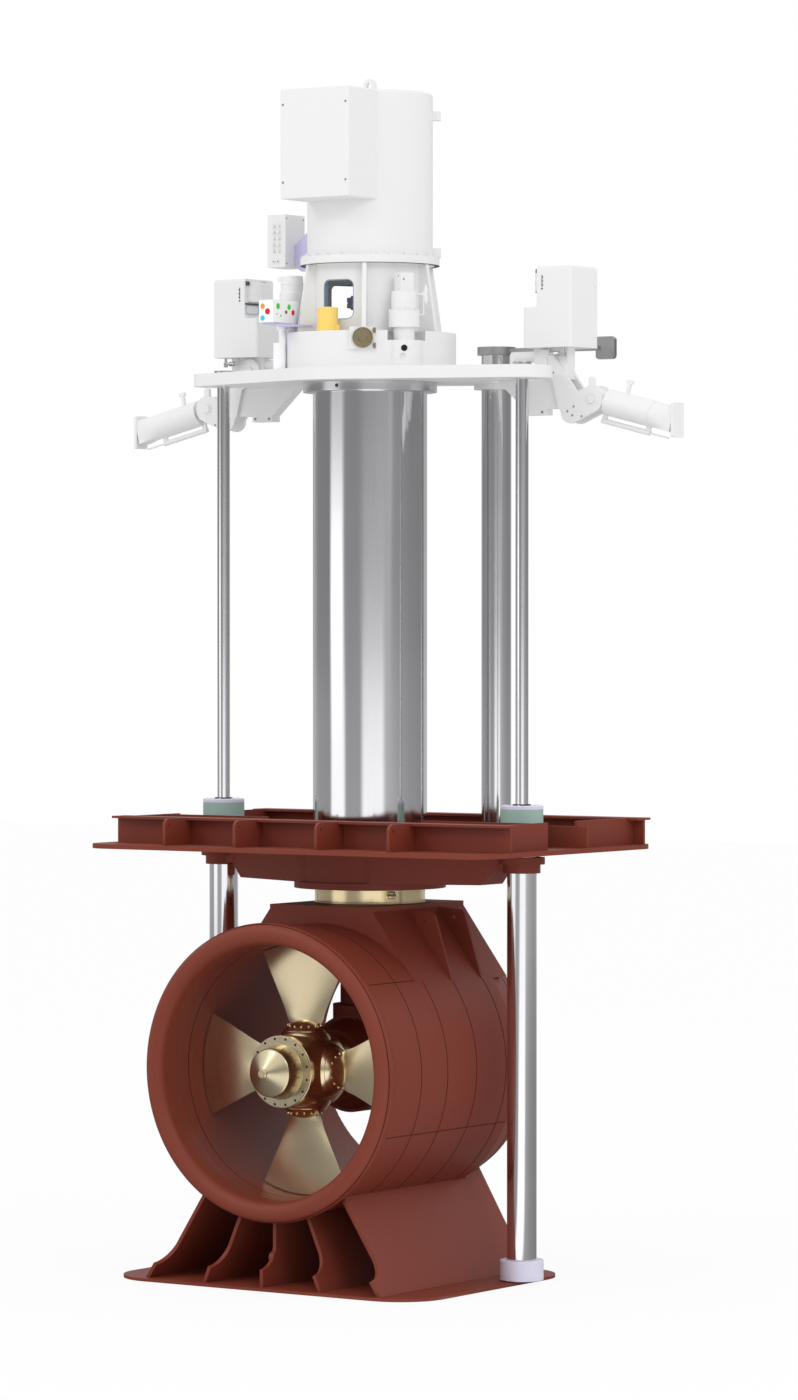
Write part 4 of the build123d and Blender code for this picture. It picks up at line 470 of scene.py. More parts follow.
def parts_tree(name, numbers, lay_points):
    """A tree that turns one part at random on laid-out points, or not at all."""
    tree = bpy.data.node_groups.new(name, "GeometryNodeTree")
    inputs = {"Part": "Object", **numbers, "Turn": "Float", "Seed": "Int", "Finish": "Material"}
    sockets = {}
    for label, kind in inputs.items():
        socket = tree.interface.new_socket(label, in_out="INPUT", socket_type="NodeSocket" + kind)
        sockets[label] = socket.identifier
    tree.interface.new_socket("Parts", in_out="OUTPUT", socket_type="NodeSocketGeometry")
    graph = Graph(tree)
    given = graph.add("NodeGroupInput")
    points = lay_points(graph, given)
    part = graph.add("GeometryNodeObjectInfo", {"Object": given["Part"]})["Geometry"]
    place = graph.add("GeometryNodeInputPosition")["Position"]
    outward = graph.add("FunctionNodeAlignRotationToVector", {"Vector": place}, axis="X")["Rotation"]
    limits = {"Min": 0.0, "Max": given["Turn"], "Seed": given["Seed"]}
    chance = graph.add("FunctionNodeRandomValue", limits, data_type="FLOAT")[1]
    turn = graph.add("ShaderNodeCombineXYZ", {"Z": chance})["Vector"]
    inputs = {"Rotation": outward, "Rotate By": turn}
    turned = graph.add("FunctionNodeRotateRotation", inputs, rotation_space="LOCAL")["Rotation"]
    inputs = {"Points": points, "Instance": part, "Rotation": turned}
    copies = graph.add("GeometryNodeInstanceOnPoints", inputs)["Instances"]
    real = graph.add("GeometryNodeRealizeInstances", {"Geometry": copies})["Geometry"]
    inputs = {"Geometry": real, "Material": given["Finish"]}
    painted = graph.add("GeometryNodeSetMaterial", inputs)["Geometry"]
    graph.add("NodeGroupOutput", {"Parts": painted})
    return tree, sockets


def circle_points(graph, given):
    inputs = {"Vertices": given["Count"], "Radius": given["Radius"]}
    return graph.add("GeometryNodeMeshCircle", inputs)["Mesh"]


def grid_points(graph, given):
    labels = {"Vertices X": "Columns", "Vertices Y": "Rows", "Size X": "Width", "Size Y": "Height"}
    inputs = {socket: given[label] for socket, label in labels.items()}
    return graph.add("GeometryNodeMeshGrid", inputs)["Mesh"]


CIRCLE_OF_PARTS = parts_tree("circle_of_parts", {"Count": "Int", "Radius": "Float"}, circle_points)
GRID_OF_PARTS = parts_tree(
    "grid_of_parts",
    {"Columns": "Int", "Rows": "Int", "Width": "Float", "Height": "Float"},
    grid_points,
)
SEED = 4
ANY_TURN = 6.28


def circle(count, radius, turn=0.0):
    return CIRCLE_OF_PARTS, {"Count": count, "Radius": radius, "Turn": turn}


def grid(columns, rows, width, height):
    return GRID_OF_PARTS, {"Columns": columns, "Rows": rows, "Width": width, "Height": height}


def small_part(name, profiles, place=Matrix()):
    """The mesh of a small part from turned profiles, each with its number of sides."""
    shape = Shape()
    for sides, profile in profiles:
        shape.turned(profile, place, sides)
    return shape.finished(name)


def hex_bolt(name, across, height):
    r = across * 0.577
    washer = [(0, 0), (r * 1.12, 0), (r * 1.12, height * 0.15), (0, height * 0.15)]
    head = [(0, 0), (r, 0), (r, height * 0.88), (r * 0.86, height), (0, height)]
    return small_part(name, [(16, washer), (6, head)])


def socket_screw(name, r, height):
    head = [
        (0, -height * 0.3), (r, -height * 0.3), (r, height * 0.85), (r * 0.88, height),
        (r * 0.52, height), (r * 0.48, height * 0.35), (0, height * 0.35),
    ]
    return small_part(name, [(14, head)])


def round_plug(name, r, height):
    head = [(0, -height), (r, -height), (r, height * 0.4), (r * 0.8, height), (0, height)]
    return small_part(name, [(14, head)])


def repeated(name, part, layout, places, finish="white_paint", body="carriage"):
    """One piece made of a laid-out set of small parts, copied to each place."""
    (tree, sockets), numbers = layout
    sample = in_scene(name + "_part", part)
    holder = in_scene(name + "_layout", bpy.data.meshes.new(name + "_layout"))
    modifier = holder.modifiers.new("layout", "NODES")
    modifier.node_group = tree
    values = {"Turn": 0.0, "Seed": SEED, **numbers, "Part": sample, "Finish": finishes[finish]}
    for label, value in values.items():
        modifier[sockets[label]] = value
    holder.update_tag()
    scene_graph = bpy.context.evaluated_depsgraph_get()
    laid = bpy.data.meshes.new_from_object(holder.evaluated_get(scene_graph))
    holder.modifiers.remove(modifier)
    bpy.data.objects.remove(holder)
    bpy.data.objects.remove(sample)
    whole = bmesh.new()
    for place in places:
        copy = laid.copy()
        copy.transform(place)
        whole.from_mesh(copy)
        bpy.data.meshes.remove(copy)
    data = bpy.data.meshes.new(name)
    whole.to_mesh(data)
    whole.free()
    bpy.data.meshes.remove(laid)
    placed(name, data, finish, body)


# Sizes taken over from the CAD, in metres

STEM_R = 0.379
STEM_WALL = 0.030
COLLAR_R = 0.445
CYLINDER_X = 1.203
BARREL_R = 0.097
BARREL_WALL = 0.016
ROD_R = 0.0425
ROD_THREAD_R = 0.030
PISTON_R = 0.076
PISTON_HEIGHT = 0.05
GLAND_R = 0.140
COLUMN = (0.530, 0.725)
COLUMN_R = 0.100
COLUMN_FLANGE_R = 0.180
COLUMN_FLANGE = 0.040
PLATE_TOP = 0.030
CARRIAGE_TOP = 3.178
LANTERN_R = 0.400
LANTERN_WALL = 0.040
LANTERN_FLANGE_TOP = 3.920
WINDOWS = (-88, 32, 152)
WINDOW_SIZE = (0.236, 0.265)
WINDOW_CORNER = 0.045
WINDOW_MIDDLE = 3.6285
MOTOR_RING_R = 0.520
MOTOR_CENTRES = [
    (MOTOR_RING_R * cos(radians(turn)), MOTOR_RING_R * sin(radians(turn)))
    for turn in (-30, 90, 210)
]
OIL_CAP_Y = -0.492
NOZZLE_R = 0.945
NOZZLE_Z = -1.418
AZIMUTH_RING_R = 0.360

# The camera's turn from the nozzle's axis; some small pieces stand straight across its view
CAMERA_TURN = 34.5
CAMERA_RIGHT = heading(CAMERA_TURN)


def span(node):
    """Lowest and highest Z of a CAD node."""
    low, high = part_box(node)
    return low.z, high.z


def at_cylinder(side):
    return at(side * CYLINDER_X, 0)


def on_axis(y, outward=BACK):
    """A place on the nozzle's axis."""
    return facing((0, y, NOZZLE_Z), outward)


# Chromed and turned bodies in place of the CAD's long facets


def turned_bodies():
    low, high = span("stem_tube")
    stem = Shape()
    stem.sleeve(STEM_R, STEM_R - STEM_WALL, low, high, edge=0.001, segments=192)
    stem.piece("stem_skin", "hard_chrome", node="stem_tube")

    low, high = span("lift_barrels")
    barrels = Shape()
    for side in SIDES:
        barrels.sleeve(BARREL_R, BARREL_R - BARREL_WALL, low, high, at_cylinder(side), 0.001, 96)
    barrels.piece("lift_barrel_skins", "barrel_chrome", "hard_chrome", body="hull", node="lift_barrels")

    low, high = span("piston_rods")
    rods = Shape()
    profile = [
        (0, low), (PISTON_R, low), (PISTON_R, low + PISTON_HEIGHT), (ROD_R, low + PISTON_HEIGHT),
        (ROD_R, CARRIAGE_TOP), (ROD_THREAD_R, CARRIAGE_TOP), (ROD_THREAD_R, high), (0, high),
    ]
    for side in SIDES:
        rods.turned(softened(profile, 0.002), at_cylinder(side))
    rods.piece("piston_rod_skins", "hard_chrome", node="piston_rods")

    nuts = Shape()
    for side in SIDES:
        nuts.sleeve(0.062, ROD_THREAD_R + 0.0005, CARRIAGE_TOP, high, at_cylinder(side), 0.003)
        for k in range(6):
            angle = radians(60 * k)
            x, y = side * CYLINDER_X + 0.046 * cos(angle), 0.046 * sin(angle)
            nuts.drum(0.0045, -0.003, 0.0012, at(x, y, high), 0.0005, 12)
    nuts.piece("rod_nut_rings", "pale_steel", "bare_steel")

    low, high = span("guide_column")
    column = Shape()
    profile = [
        (0, low), (COLUMN_FLANGE_R, low), (COLUMN_FLANGE_R, low + COLUMN_FLANGE),
        (COLUMN_R + 0.006, low + COLUMN_FLANGE), (COLUMN_R, low + 0.048), (COLUMN_R, high), (0, high),
    ]
    column.turned(softened(profile, 0.002), at(*COLUMN), 96)
    column.piece("guide_column_skin", "hard_chrome", body="hull", node="guide_column")


def bright_collar():
    """The ground collar that holds the stem under the carriage plate, with its plug."""
    low, high = span("stem_collar")
    collar = Shape()
    collar.sleeve(COLLAR_R, 0.3795, low, high, edge=0.004, segments=160)
    collar.piece("stem_collar_skin", "collar_steel", "hard_chrome", node="stem_collar")
    out = heading(-85)
    plug = Shape()
    spot = out * COLLAR_R + Vector((0, 0, (low + high) / 2))
    plug.drum(0.0125, -0.004, 0.0012, facing(spot, out), 0.0006, 24)
    plug.piece("collar_plug", "dark_fitting", "seal_rubber")


# Foundation and cylinders


def foundation_details():
    """Bolts and screws of the flanges and rings, bleed plugs and rubber wipers."""
    gland_top = span("gland_rings")[1]
    seal_top = span("stem_seal_ring")[1]
    repeated(
        "column_flange_bolts", hex_bolt("flange_bolt", 0.030, 0.019), circle(8, 0.148, ANY_TURN),
        [at(*COLUMN, PLATE_TOP + COLUMN_FLANGE)], "bare_steel", body="hull",
    )
    screw = socket_screw("cap_screw", 0.009, 0.004)
    repeated(
        "seal_ring_screws", screw, circle(24, 0.412), [at(0, 0, seal_top)],
        "bare_steel", body="hull",
    )
    repeated(
        "gland_ring_screws", screw, circle(8, 0.112),
        [at(side * CYLINDER_X, 0, gland_top, 22.5) for side in SIDES],
        "white_paint", body="hull",
    )
    across, forward = 0.30, -0.954
    spots = [(side * CYLINDER_X + GLAND_R * across, GLAND_R * forward, 0.155) for side in SIDES]
    repeated(
        "gland_bleed_plugs", round_plug("foot_plug", 0.007, 0.003), grid(1, 1, 0.0, 0.0),
        [facing(spot, (across, forward, 0)) for spot in spots], "dark_fitting", body="hull",
    )
    wipers = Shape()
    for side in SIDES:
        low, high = gland_top - 0.004, gland_top + 0.008
        wipers.sleeve(0.060, ROD_R + 0.0004, low, high, at_cylinder(side), 0.002)
    wipers.piece("rod_wipers", "seal_rubber", body="hull")
    seal = Shape()
    low, high = seal_top - 0.004, seal_top + 0.009
    seal.sleeve(0.3965, STEM_R + 0.0004, low, high, edge=0.003, segments=128)
    seal.piece("stem_wiper", "seal_rubber", body="hull")


# Lantern, motor and boxes


def window_linings():
    """Blue-grey rims through the lantern wall, a few millimetres proud inside the cut."""
    shape = Shape()
    width, height = WINDOW_SIZE
    rim = 0.006
    outer = rounded_outline(width, height, WINDOW_CORNER)
    inner = rounded_outline(width - 2 * rim, height - 2 * rim, WINDOW_CORNER - rim)
    outside, inside = LANTERN_R - 0.0005, LANTERN_R - LANTERN_WALL - 0.002
    corners = ((outer, outside), (inner, outside), (inner, inside), (outer, inside))
    for window in WINDOWS:
        place = at(0, 0, WINDOW_MIDDLE, window)
        rings = []
        for outline, radius in corners:
            points = [(sqrt(radius ** 2 - across ** 2), across, level) for across, level in outline]
            rings.append([place @ Vector(point) for point in points])
        shape.skin(rings, closed=True)
    shape.piece("window_linings", "window_edge_paint", "pale_paint", sharp=30)


def lantern_details():
    bolt = hex_bolt("lantern_bolt", 0.024, 0.015)
    place = at(0, 0, LANTERN_FLANGE_TOP, 7.5)
    repeated("motor_flange_bolts", bolt, circle(24, 0.4395, ANY_TURN), [place])
    top = span("lantern")[1]
    # A thin dark ring of painted shade in the gap where the lantern's flange meets the motor's flange
    flange_shade_line = Shape()
    flange_shade_line.sleeve(0.4635, 0.43, top - 0.0008, top + 0.0012, edge=0.0003, segments=128)
    flange_shade_line.piece("motor_flange_joint", "painted_shade", "seal_rubber")


def steering_motor_details():
    """Plugs, raised bands and screws of the three steering motors."""
    dots, bands = Shape(), Shape()
    for (x, y), turn in zip(MOTOR_CENTRES, (-55.5, 64.5, 184.5)):
        for across, height in ((-0.010, 3.772), (0.028, 3.750)):
            dots.drum(0.0055, -0.003, 0.0014, facing((x + across, y - 0.047, height), FRONT), 0.0008, 16)
        side = heading(turn)
        spot = Vector((x, y, 3.297)) + side * 0.1195
        dots.drum(0.021, -0.006, 0.004, facing(spot, side), 0.002, 24)
        for outer, inner, low, high, edge in (
            (0.0855, 0.080, 3.6035, 3.6085, 0.0008),
            (0.1025, 0.098, 3.5435, 3.5475, 0.0008),
            (0.0855, 0.080, 3.560, 3.562, 0.0006),
        ):
            bands.sleeve(outer, inner, low, high, at(x, y), edge)
    dots.piece("steering_motor_plugs", "black_plug", "seal_rubber")
    bands.piece("steering_motor_bands")
    screw = socket_screw("motor_screw", 0.008, 0.009)
    places = [at(x, y, 3.546) for x, y in MOTOR_CENTRES]
    repeated("steering_motor_screws", screw, circle(8, 0.0925), places)


def pipe_run(shape, points, radius, sides=12):
    """A pipe with square mitred corners along points."""
    path = [Vector(point) for point in points]
    runs = [(end - start).normalized() for start, end in zip(path, path[1:])]
    start = Vector(UP) if abs(runs[0].z) < 0.9 else Vector(RIGHT)
    across = start.cross(runs[0]).normalized()
    rings = []
    for point, before, after in zip(path, runs[:1] + runs, runs + runs[-1:]):
        other = before.cross(across).normalized()
        bend = after - before
        is_corner = bend.length > 1e-6
        ring = []
        for side in range(sides):
            angle = 2 * pi * side / sides
            offset = (across * cos(angle) + other * sin(angle)) * radius
            if is_corner:
                lean = offset.dot(bend.normalized()) * -1
                offset += before * lean * tan(before.angle(after) / 2)
            ring.append(point + offset)
        rings.append(ring)
        if is_corner:
            across = Matrix.Rotation(before.angle(after), 3, before.cross(after)) @ across
    shape.skin([[path[0]], *rings, [path[-1]]])


def motor_pipes():
    """The drain pipe beside the right steering motor, with its filter."""
    axis = Vector((*MOTOR_CENTRES[0], 0))
    near, far = axis + CAMERA_RIGHT * 0.076, axis + CAMERA_RIGHT * 0.127
    end = (axis.x + CAMERA_RIGHT.x * 0.09, axis.y + CAMERA_RIGHT.y * 0.09)
    top, bottom = 3.655, 3.520
    pipes = Shape()
    pipe_run(pipes, [
        (near.x, near.y, top), (far.x, far.y, top), (far.x, far.y, bottom), (*end, bottom),
    ], 0.0055)
    spot = axis + CAMERA_RIGHT * 0.142
    pipes.drum(0.013, 3.600, 3.700, at(spot.x, spot.y), 0.006, 20)
    pipes.drum(0.008, 3.590, 3.715, at(spot.x, spot.y), 0.002, 16)
    pipes.drum(0.008, 3.640, 3.672, at(far.x, far.y), 0.002, 16)
    pipes.piece("steering_motor_pipes")


def cap_and_cover_details():
    """The oil cap's lug and rim, and the round inspection cover with its ears."""
    lug = Shape()
    lug.block((0.020, 0.030, 0.030), at(0, OIL_CAP_Y, 3.4425, CAMERA_TURN) @ at(0.069, 0), 0.005)
    lug.drum(0.034, 3.569, 3.574, at(0, OIL_CAP_Y))
    lug.piece("oil_cap_lug", "yellow_paint")
    out = heading(-60)
    right = Vector(UP).cross(out)
    middle = 3.364
    ears = Shape()
    for height in (-0.052, 0.048):
        spot = out * 0.603 + right * 0.077 + Vector((0, 0, middle + height))
        ears.block((0.018, 0.034, 0.020), facing(spot, out))
    ears.piece("cover_ears", "dull_bronze")
    cover = Shape()
    face = [
        (0, 0), (0.067, 0), (0.067, 0.021), (0.060, 0.021), (0.059, 0.018), (0.030, 0.018),
        (0.028, 0.022), (0, 0.022),
    ]
    spot = out * 0.596 + Vector((0, 0, middle))
    cover.turned(softened(face, 0.0015), facing(spot, out), 96)
    cover.piece("cover_disc", "dull_bronze", node="inspection_cover")


def shelf_apron():
    """The lavender sheet between the control box's shelf and the housing."""
    outline = [
        (-0.3095, -0.640), (-0.235, -0.470), (-0.200, -0.385), (-0.205, -0.330), (-0.322, -0.330),
        (-0.322, -0.640),
    ]
    low, high = 3.4520, 3.4645
    apron = Shape()
    ends = [[Vector((-0.28, -0.42, z))] for z in (low, high)]
    edges = [[Vector((x, y, z)) for x, y in outline] for z in (low, high)]
    apron.skin([ends[0], edges[0], edges[1], ends[1]])
    apron.piece("shelf_apron", "lavender_paint")


def control_lamps():
    """Domed lamps and their rims on the front and the right side of the control box."""
    low, high = Vector((-0.4215, -0.681, 3.477)), Vector((-0.3085, -0.379, 3.624))
    size = high - low

    def on_front(u, v):
        return facing((low.x + size.x * u, low.y, low.z + size.z * v), FRONT)

    def on_side(u, v):
        return facing((high.x, low.y + size.y * u, low.z + size.z * v), RIGHT)

    lamps = {
        "orange": [(on_front(0.30, 0.72), 0.0175), (on_side(0.16, 0.37), 0.0063)],
        "cyan": [(on_front(0.30, 0.19), 0.0175)],
        "green": [
            (on_side(0.20, 0.72), 0.0200), (on_side(0.61, 0.72), 0.0187),
            (on_side(0.30, 0.30), 0.0075),
        ],
        "red": [(on_front(0.65, 0.48), 0.0200), (on_side(0.76, 0.48), 0.0181)],
        "dark_red": [(on_side(0.50, 0.48), 0.0125)],
    }
    rims = Shape()
    for tint, spots in lamps.items():
        shape = Shape()
        for place, radius in spots:
            dome = [(0, -0.002), (radius, -0.002), (radius, 0.002), (radius * 0.8, 0.0045), (0, 0.006)]
            shape.turned(softened(dome, 0.001), place, 24)
            rims.sleeve(radius + 0.0022, radius, -0.002, 0.0025, place, 0.0006, 24)
        node = "control_lamps" if tint == "red" else None
        shape.piece("lamps_" + tint, "lamp_" + tint, "lamp_plastic", node=node)
    rims.piece("lamp_rims")


def box_details():
    """Gland caps, connectors and screws on the junction box and the motor's terminal box."""
    junction_x = -0.6915
    dome = round_plug("gland_dome", 0.0125, 0.012)
    place = facing((junction_x, -0.108, 4.074), FRONT)
    repeated("gland_caps", dome, grid(2, 5, 0.040, 0.168), [place])
    fittings, dots = Shape(), Shape()
    for across in (-0.022, 0.014):
        place = facing((junction_x + across, -0.100, 3.919), FRONT)
        fittings.drum(0.012, -0.002, 0.006, place, 0.001, 24)
        dots.drum(0.005, 0.005, 0.0075, place, 0.0006, 14)
    fittings.piece("junction_connectors")
    for y, z in ((-0.085, 4.205), (0.108, 4.205), (-0.085, 3.905), (0.108, 3.905)):
        dots.drum(0.006, -0.002, 0.0016, facing((-0.618, y, z), RIGHT), 0.0006, 14)
    for z in (4.39, 4.90):
        for x in (-0.25, 0.25):
            dots.drum(0.008, -0.002, 0.002, facing((x, -0.645, z), FRONT), 0.0008, 14)
    dots.piece("box_screws", "grey_fitting", "seal_rubber")


def enclosure_details():
    """Each switch slot as dark blocks of painted shade, and the hinges and lower valve pipes of the two
    enclosures.
    """
    slot_shades, hinges, pipes = Shape(), Shape(), Shape()
    for side in SIDES:
        x = side * 1.221
        # Dark blocks of painted shade stand for the slot and its three openings, with a dark dot below them
        slot_shades.block((0.007, 0.0775, 0.004), facing((x, 0.2125, 3.7385), FRONT), 0.0012, 1)
        for height in (3.712, 3.738, 3.764):
            spot = (x + side * 0.005, 0.2122, height)
            slot_shades.block((0.010, 0.006, 0.005), facing(spot, FRONT), 0.001, 1)
        slot_shades.drum(0.0065, -0.002, 0.0018, facing((x, 0.212, 3.688), FRONT), 0.0008, 16)
        for height in (3.40, 3.74):
            hinges.drum(0.008, height - 0.03, height + 0.03, at(side * 1.4465, 0.500), 0.002, 20)
        near, far, y, top, bottom = side * 1.255, side * 1.365, 0.250, 3.306, 3.262
        run = [(far, y, top), (far, y, bottom), (near, y, bottom), (near, y, top)]
        pipe_run(pipes, run, 0.009, 14)
        pipes.drum(0.016, -0.022, 0.022, facing((side * 1.312, y, bottom), RIGHT), 0.004, 20)
        pipes.drum(0.014, 3.240, 3.275, at(far, y), 0.003, 20)
    slot_shades.piece("enclosure_slots", "painted_shade", "seal_rubber")
    hinges.piece("enclosure_hinges")
    pipes.piece("enclosure_pipes", "pale_steel", "bare_steel")


def notch_units():
    """The drive drum and its frame in the open corner of each enclosure, with painted shade: a dark bar
    under the drum and dark blocks at its top rim.
    """
    drums, shade_marks, frames = Shape(), Shape(), Shape()
    outer = rounded_outline(0.150, 0.062, 0.022)
    inner = rounded_outline(0.144, 0.056, 0.019)
    for side in SIDES:
        axis = at(side * 1.200, 0.345)
        drums.drum(0.098, 3.680, 3.812, axis, 0.004, 64)
        drums.sleeve(0.101, 0.090, 3.730, 3.738, axis)
        # Painted shade: a dark bar under the drum and two dark blocks at its top rim
        shade_marks.block((0.016, 0.170, 0.009), at(side * 1.175, 0.300, 3.666), 0.002, 1)
        for y, wide in ((0.236, 0.020), (0.432, 0.034)):
            shade_marks.block((0.024, wide, 0.028), at(side * 1.172, y, 3.806), 0.003, 1)
        place = facing((side * 1.180, 0.300, 3.6285), (-side, 0, 0))
        rings = []
        for outline, level in ((outer, 0.0), (outer, 0.003), (inner, 0.003), (inner, 0.0)):
            rings.append([place @ Vector((x, y, level)) for x, y in outline])
        frames.skin(rings, closed=True)
    drums.piece("notch_drums")
    shade_marks.piece("notch_bars", "painted_shade", "seal_rubber")
    frames.piece("notch_frames", "window_edge_paint", "pale_paint")


def left_motor_cap():
    """The banded housing on the left steering motor, in place of a bare block."""
    x, y = MOTOR_CENTRES[2]
    cap = Shape()
    profile = [
        (0, 3.668), (0.084, 3.668), (0.084, 3.690), (0.074, 3.694), (0.074, 3.744), (0.077, 3.747),
        (0.077, 3.757), (0.074, 3.760), (0.074, 3.796), (0.068, 3.803), (0, 3.803),
    ]
    cap.turned(softened(profile, 0.0015), at(x, y))
    cap.block((0.050, 0.036, 0.030), at(x - 0.062, y - 0.030, 3.786), 0.004)
    run = [(0.060, 0.045, 3.640)] + [(0.150, 0.105, z) for z in (3.640, 3.600, 3.560)]
    run.append((0.085, 0.060, 3.560))
    pipe_run(cap, [(x - left, y - forward, z) for left, forward, z in run], 0.006)
    cap.piece("left_motor_cap")


def lock_details():
    """Caps on the lock pins and dark screws on the cheeks."""
    caps, screws = Shape(), Shape()
    cheek, back_cheek = 0.285, 0.425
    spots = ((1.215, 3.165), (1.262, 3.140), (1.420, 2.915), (1.372, 2.885), (1.410, 2.858), (1.482, 2.850))
    for side in SIDES:
        for x, z, radius in ((1.555, 2.962, 0.030), (1.195, 3.214, 0.026)):
            place = facing((side * x, cheek, z), FRONT)
            caps.drum(radius, -0.004, 0.008, place, 0.003, 32)
            caps.sleeve(radius + 0.014, radius + 0.002, -0.004, 0.003, place, 0.001, 32)
            caps.drum(radius, -0.004, 0.008, facing((side * x, back_cheek, z), BACK), 0.003, 32)
        for x, z in spots:
            screws.drum(0.0075, -0.002, 0.002, facing((side * x, cheek, z), FRONT), 0.0008, 14)
        for x in (1.045, 1.160):
            place = facing((side * x, 0.310, 2.885), FRONT)
            screws.drum(0.009, -0.002, 0.0025, place, 0.0008, 14)
    caps.piece("lock_pin_caps")
    screws.piece("lock_screws", "grey_fitting", "seal_rubber")


# Azimuth body: joint lines, a painted shade strip on the lip, clamp and welds


def nozzle_radius(y):
    """Outer radius of the nozzle at a place along its axis: straight, then tapered."""
    taper_start, taper_end, end_radius = 0.330, 0.648, 0.858
    if y <= taper_start:
        return NOZZLE_R
    return NOZZLE_R + (end_radius - NOZZLE_R) * (y - taper_start) / (taper_end - taper_start)


def nozzle_seams():
    """Dark joint lines round and along the nozzle, and a dark strip of painted shade on the front of the
    lip.
    """
    joint_and_shade_strips = Shape()
    half, proud = 0.0026, 0.0010
    for y in (-0.787, -0.484, -0.142, 0.209):
        radius = nozzle_radius(y)
        joint_and_shade_strips.sleeve(radius + proud, radius - 0.004, -half, half, on_axis(y), 0.0004, 256)
    y = 0.540
    near, far = nozzle_radius(y - half) + proud, nozzle_radius(y + half) + proud
    profile = [(near, -half), (far, half), (far - 0.005, half), (near - 0.005, -half)]
    joint_and_shade_strips.turned(profile, on_axis(y), 256, closed=True)
    for side in SIDES:
        for angle in (39, -24):
            turn = radians(angle)
            out = Vector((side * cos(turn), 0, sin(turn)))
            centre = Vector((0, -0.374, NOZZLE_Z)) + out * 0.9435
            joint_and_shade_strips.block((0.0052, 1.402, 0.0050), facing(centre, out, BACK), 0.0008, 1)
    for y, radius, half in ((-1.144, 0.8354, 0.0060), (-0.907, 0.832, 0.0028)):
        joint_and_shade_strips.sleeve(radius + 0.005, radius - 0.0008, -half, half, on_axis(y), 0.0004, 256)
    # A dark strip on the front of the rolled lip, along the edge of its shading: painted shade
    lean, wide = radians(31), 0.035
    near, far = 0.067, 0.071
    profile = []
    for turn, reach in ((lean - wide, far), (lean + wide, far), (lean + wide, near), (lean - wide, near)):
        profile.append((0.905 + reach * cos(turn), -reach * sin(turn)))
    joint_and_shade_strips.turned(profile, on_axis(-1.152), 256, closed=True)
    joint_and_shade_strips.piece("nozzle_seams", "joint_and_shade_line_paint", "red_brown_paint", body="azimuth")


def clamp_details():
    """Rims and the split clamp of the bronze ring above the nozzle."""
    ring = Shape()
    for low, high in ((-0.2665, -0.2585), (-0.3575, -0.3495)):
        ring.sleeve(0.3705, AZIMUTH_RING_R, low, high, edge=0.0015, segments=160)
    out = heading(-33.5)
    right = Vector(UP).cross(out)
    clamp = Vector((0, 0, -0.296))
    ring.block((0.044, 0.050, 0.024), facing(out * 0.378 + clamp, out), 0.004)
    ring.sleeve(0.3682, AZIMUTH_RING_R, -0.345, -0.341, edge=0.0008, segments=160)
    ring.piece("azimuth_ring_rims", "azimuth_ring_bronze", "bronze", body="azimuth")
    screw = Shape()
    place = facing(out * 0.384 + right * -0.026 + clamp, right)
    screw.drum(0.009, 0, 0.052, place, 0.002, 16)
    screw.piece("azimuth_ring_clamp_screw", "bare_steel", body="azimuth")


def leg_welds():
    """Weld beads where the legs meet the closing plate."""
    beads = Shape()
    for foot in (-0.918, -0.459, 0.0, 0.459, 0.918):
        for side in SIDES:
            place = at(foot + side * 0.0145, -0.30, -2.7965)
            beads.block((0.007, 1.50, 0.006), place, 0.0022, 1)
    beads.piece("leg_weld_beads", "red_brown_paint", body="azimuth")


# Propeller: hub, nose cone and blades with domed roots, in place of the CAD's plain ones

PROP_Y = -0.745
FLANGE_Y = -1.032
PROP_R = 0.8215
BLADE_LOW = 0.300
BLADE_ROOT = 0.327
ROOT_CHORD, TIP_CHORD = 0.250, 0.738
ROOT_THICK, TIP_THICK = 0.070, 0.016
THICK_FALL = 1.6
ROOT_PITCH, TIP_PITCH = 3.5, 1.0
FLARE, FLARE_FALL = 0.10, 14
UPPER_BELLY, LOWER_BELLY = 0.75, -0.25
DOME_R, DOME_FOOT, DOME_TOP = 0.143, 0.240, 0.324
DOME_BALL_R, DOME_BALL_HEIGHT = 0.18, 0.144


def about_hub(turn):
    """From the top blade's own frame to the place of another blade."""
    return Matrix.Translation((0, PROP_Y, NOZZLE_Z)) @ Matrix.Rotation(radians(turn), 4, "Y")


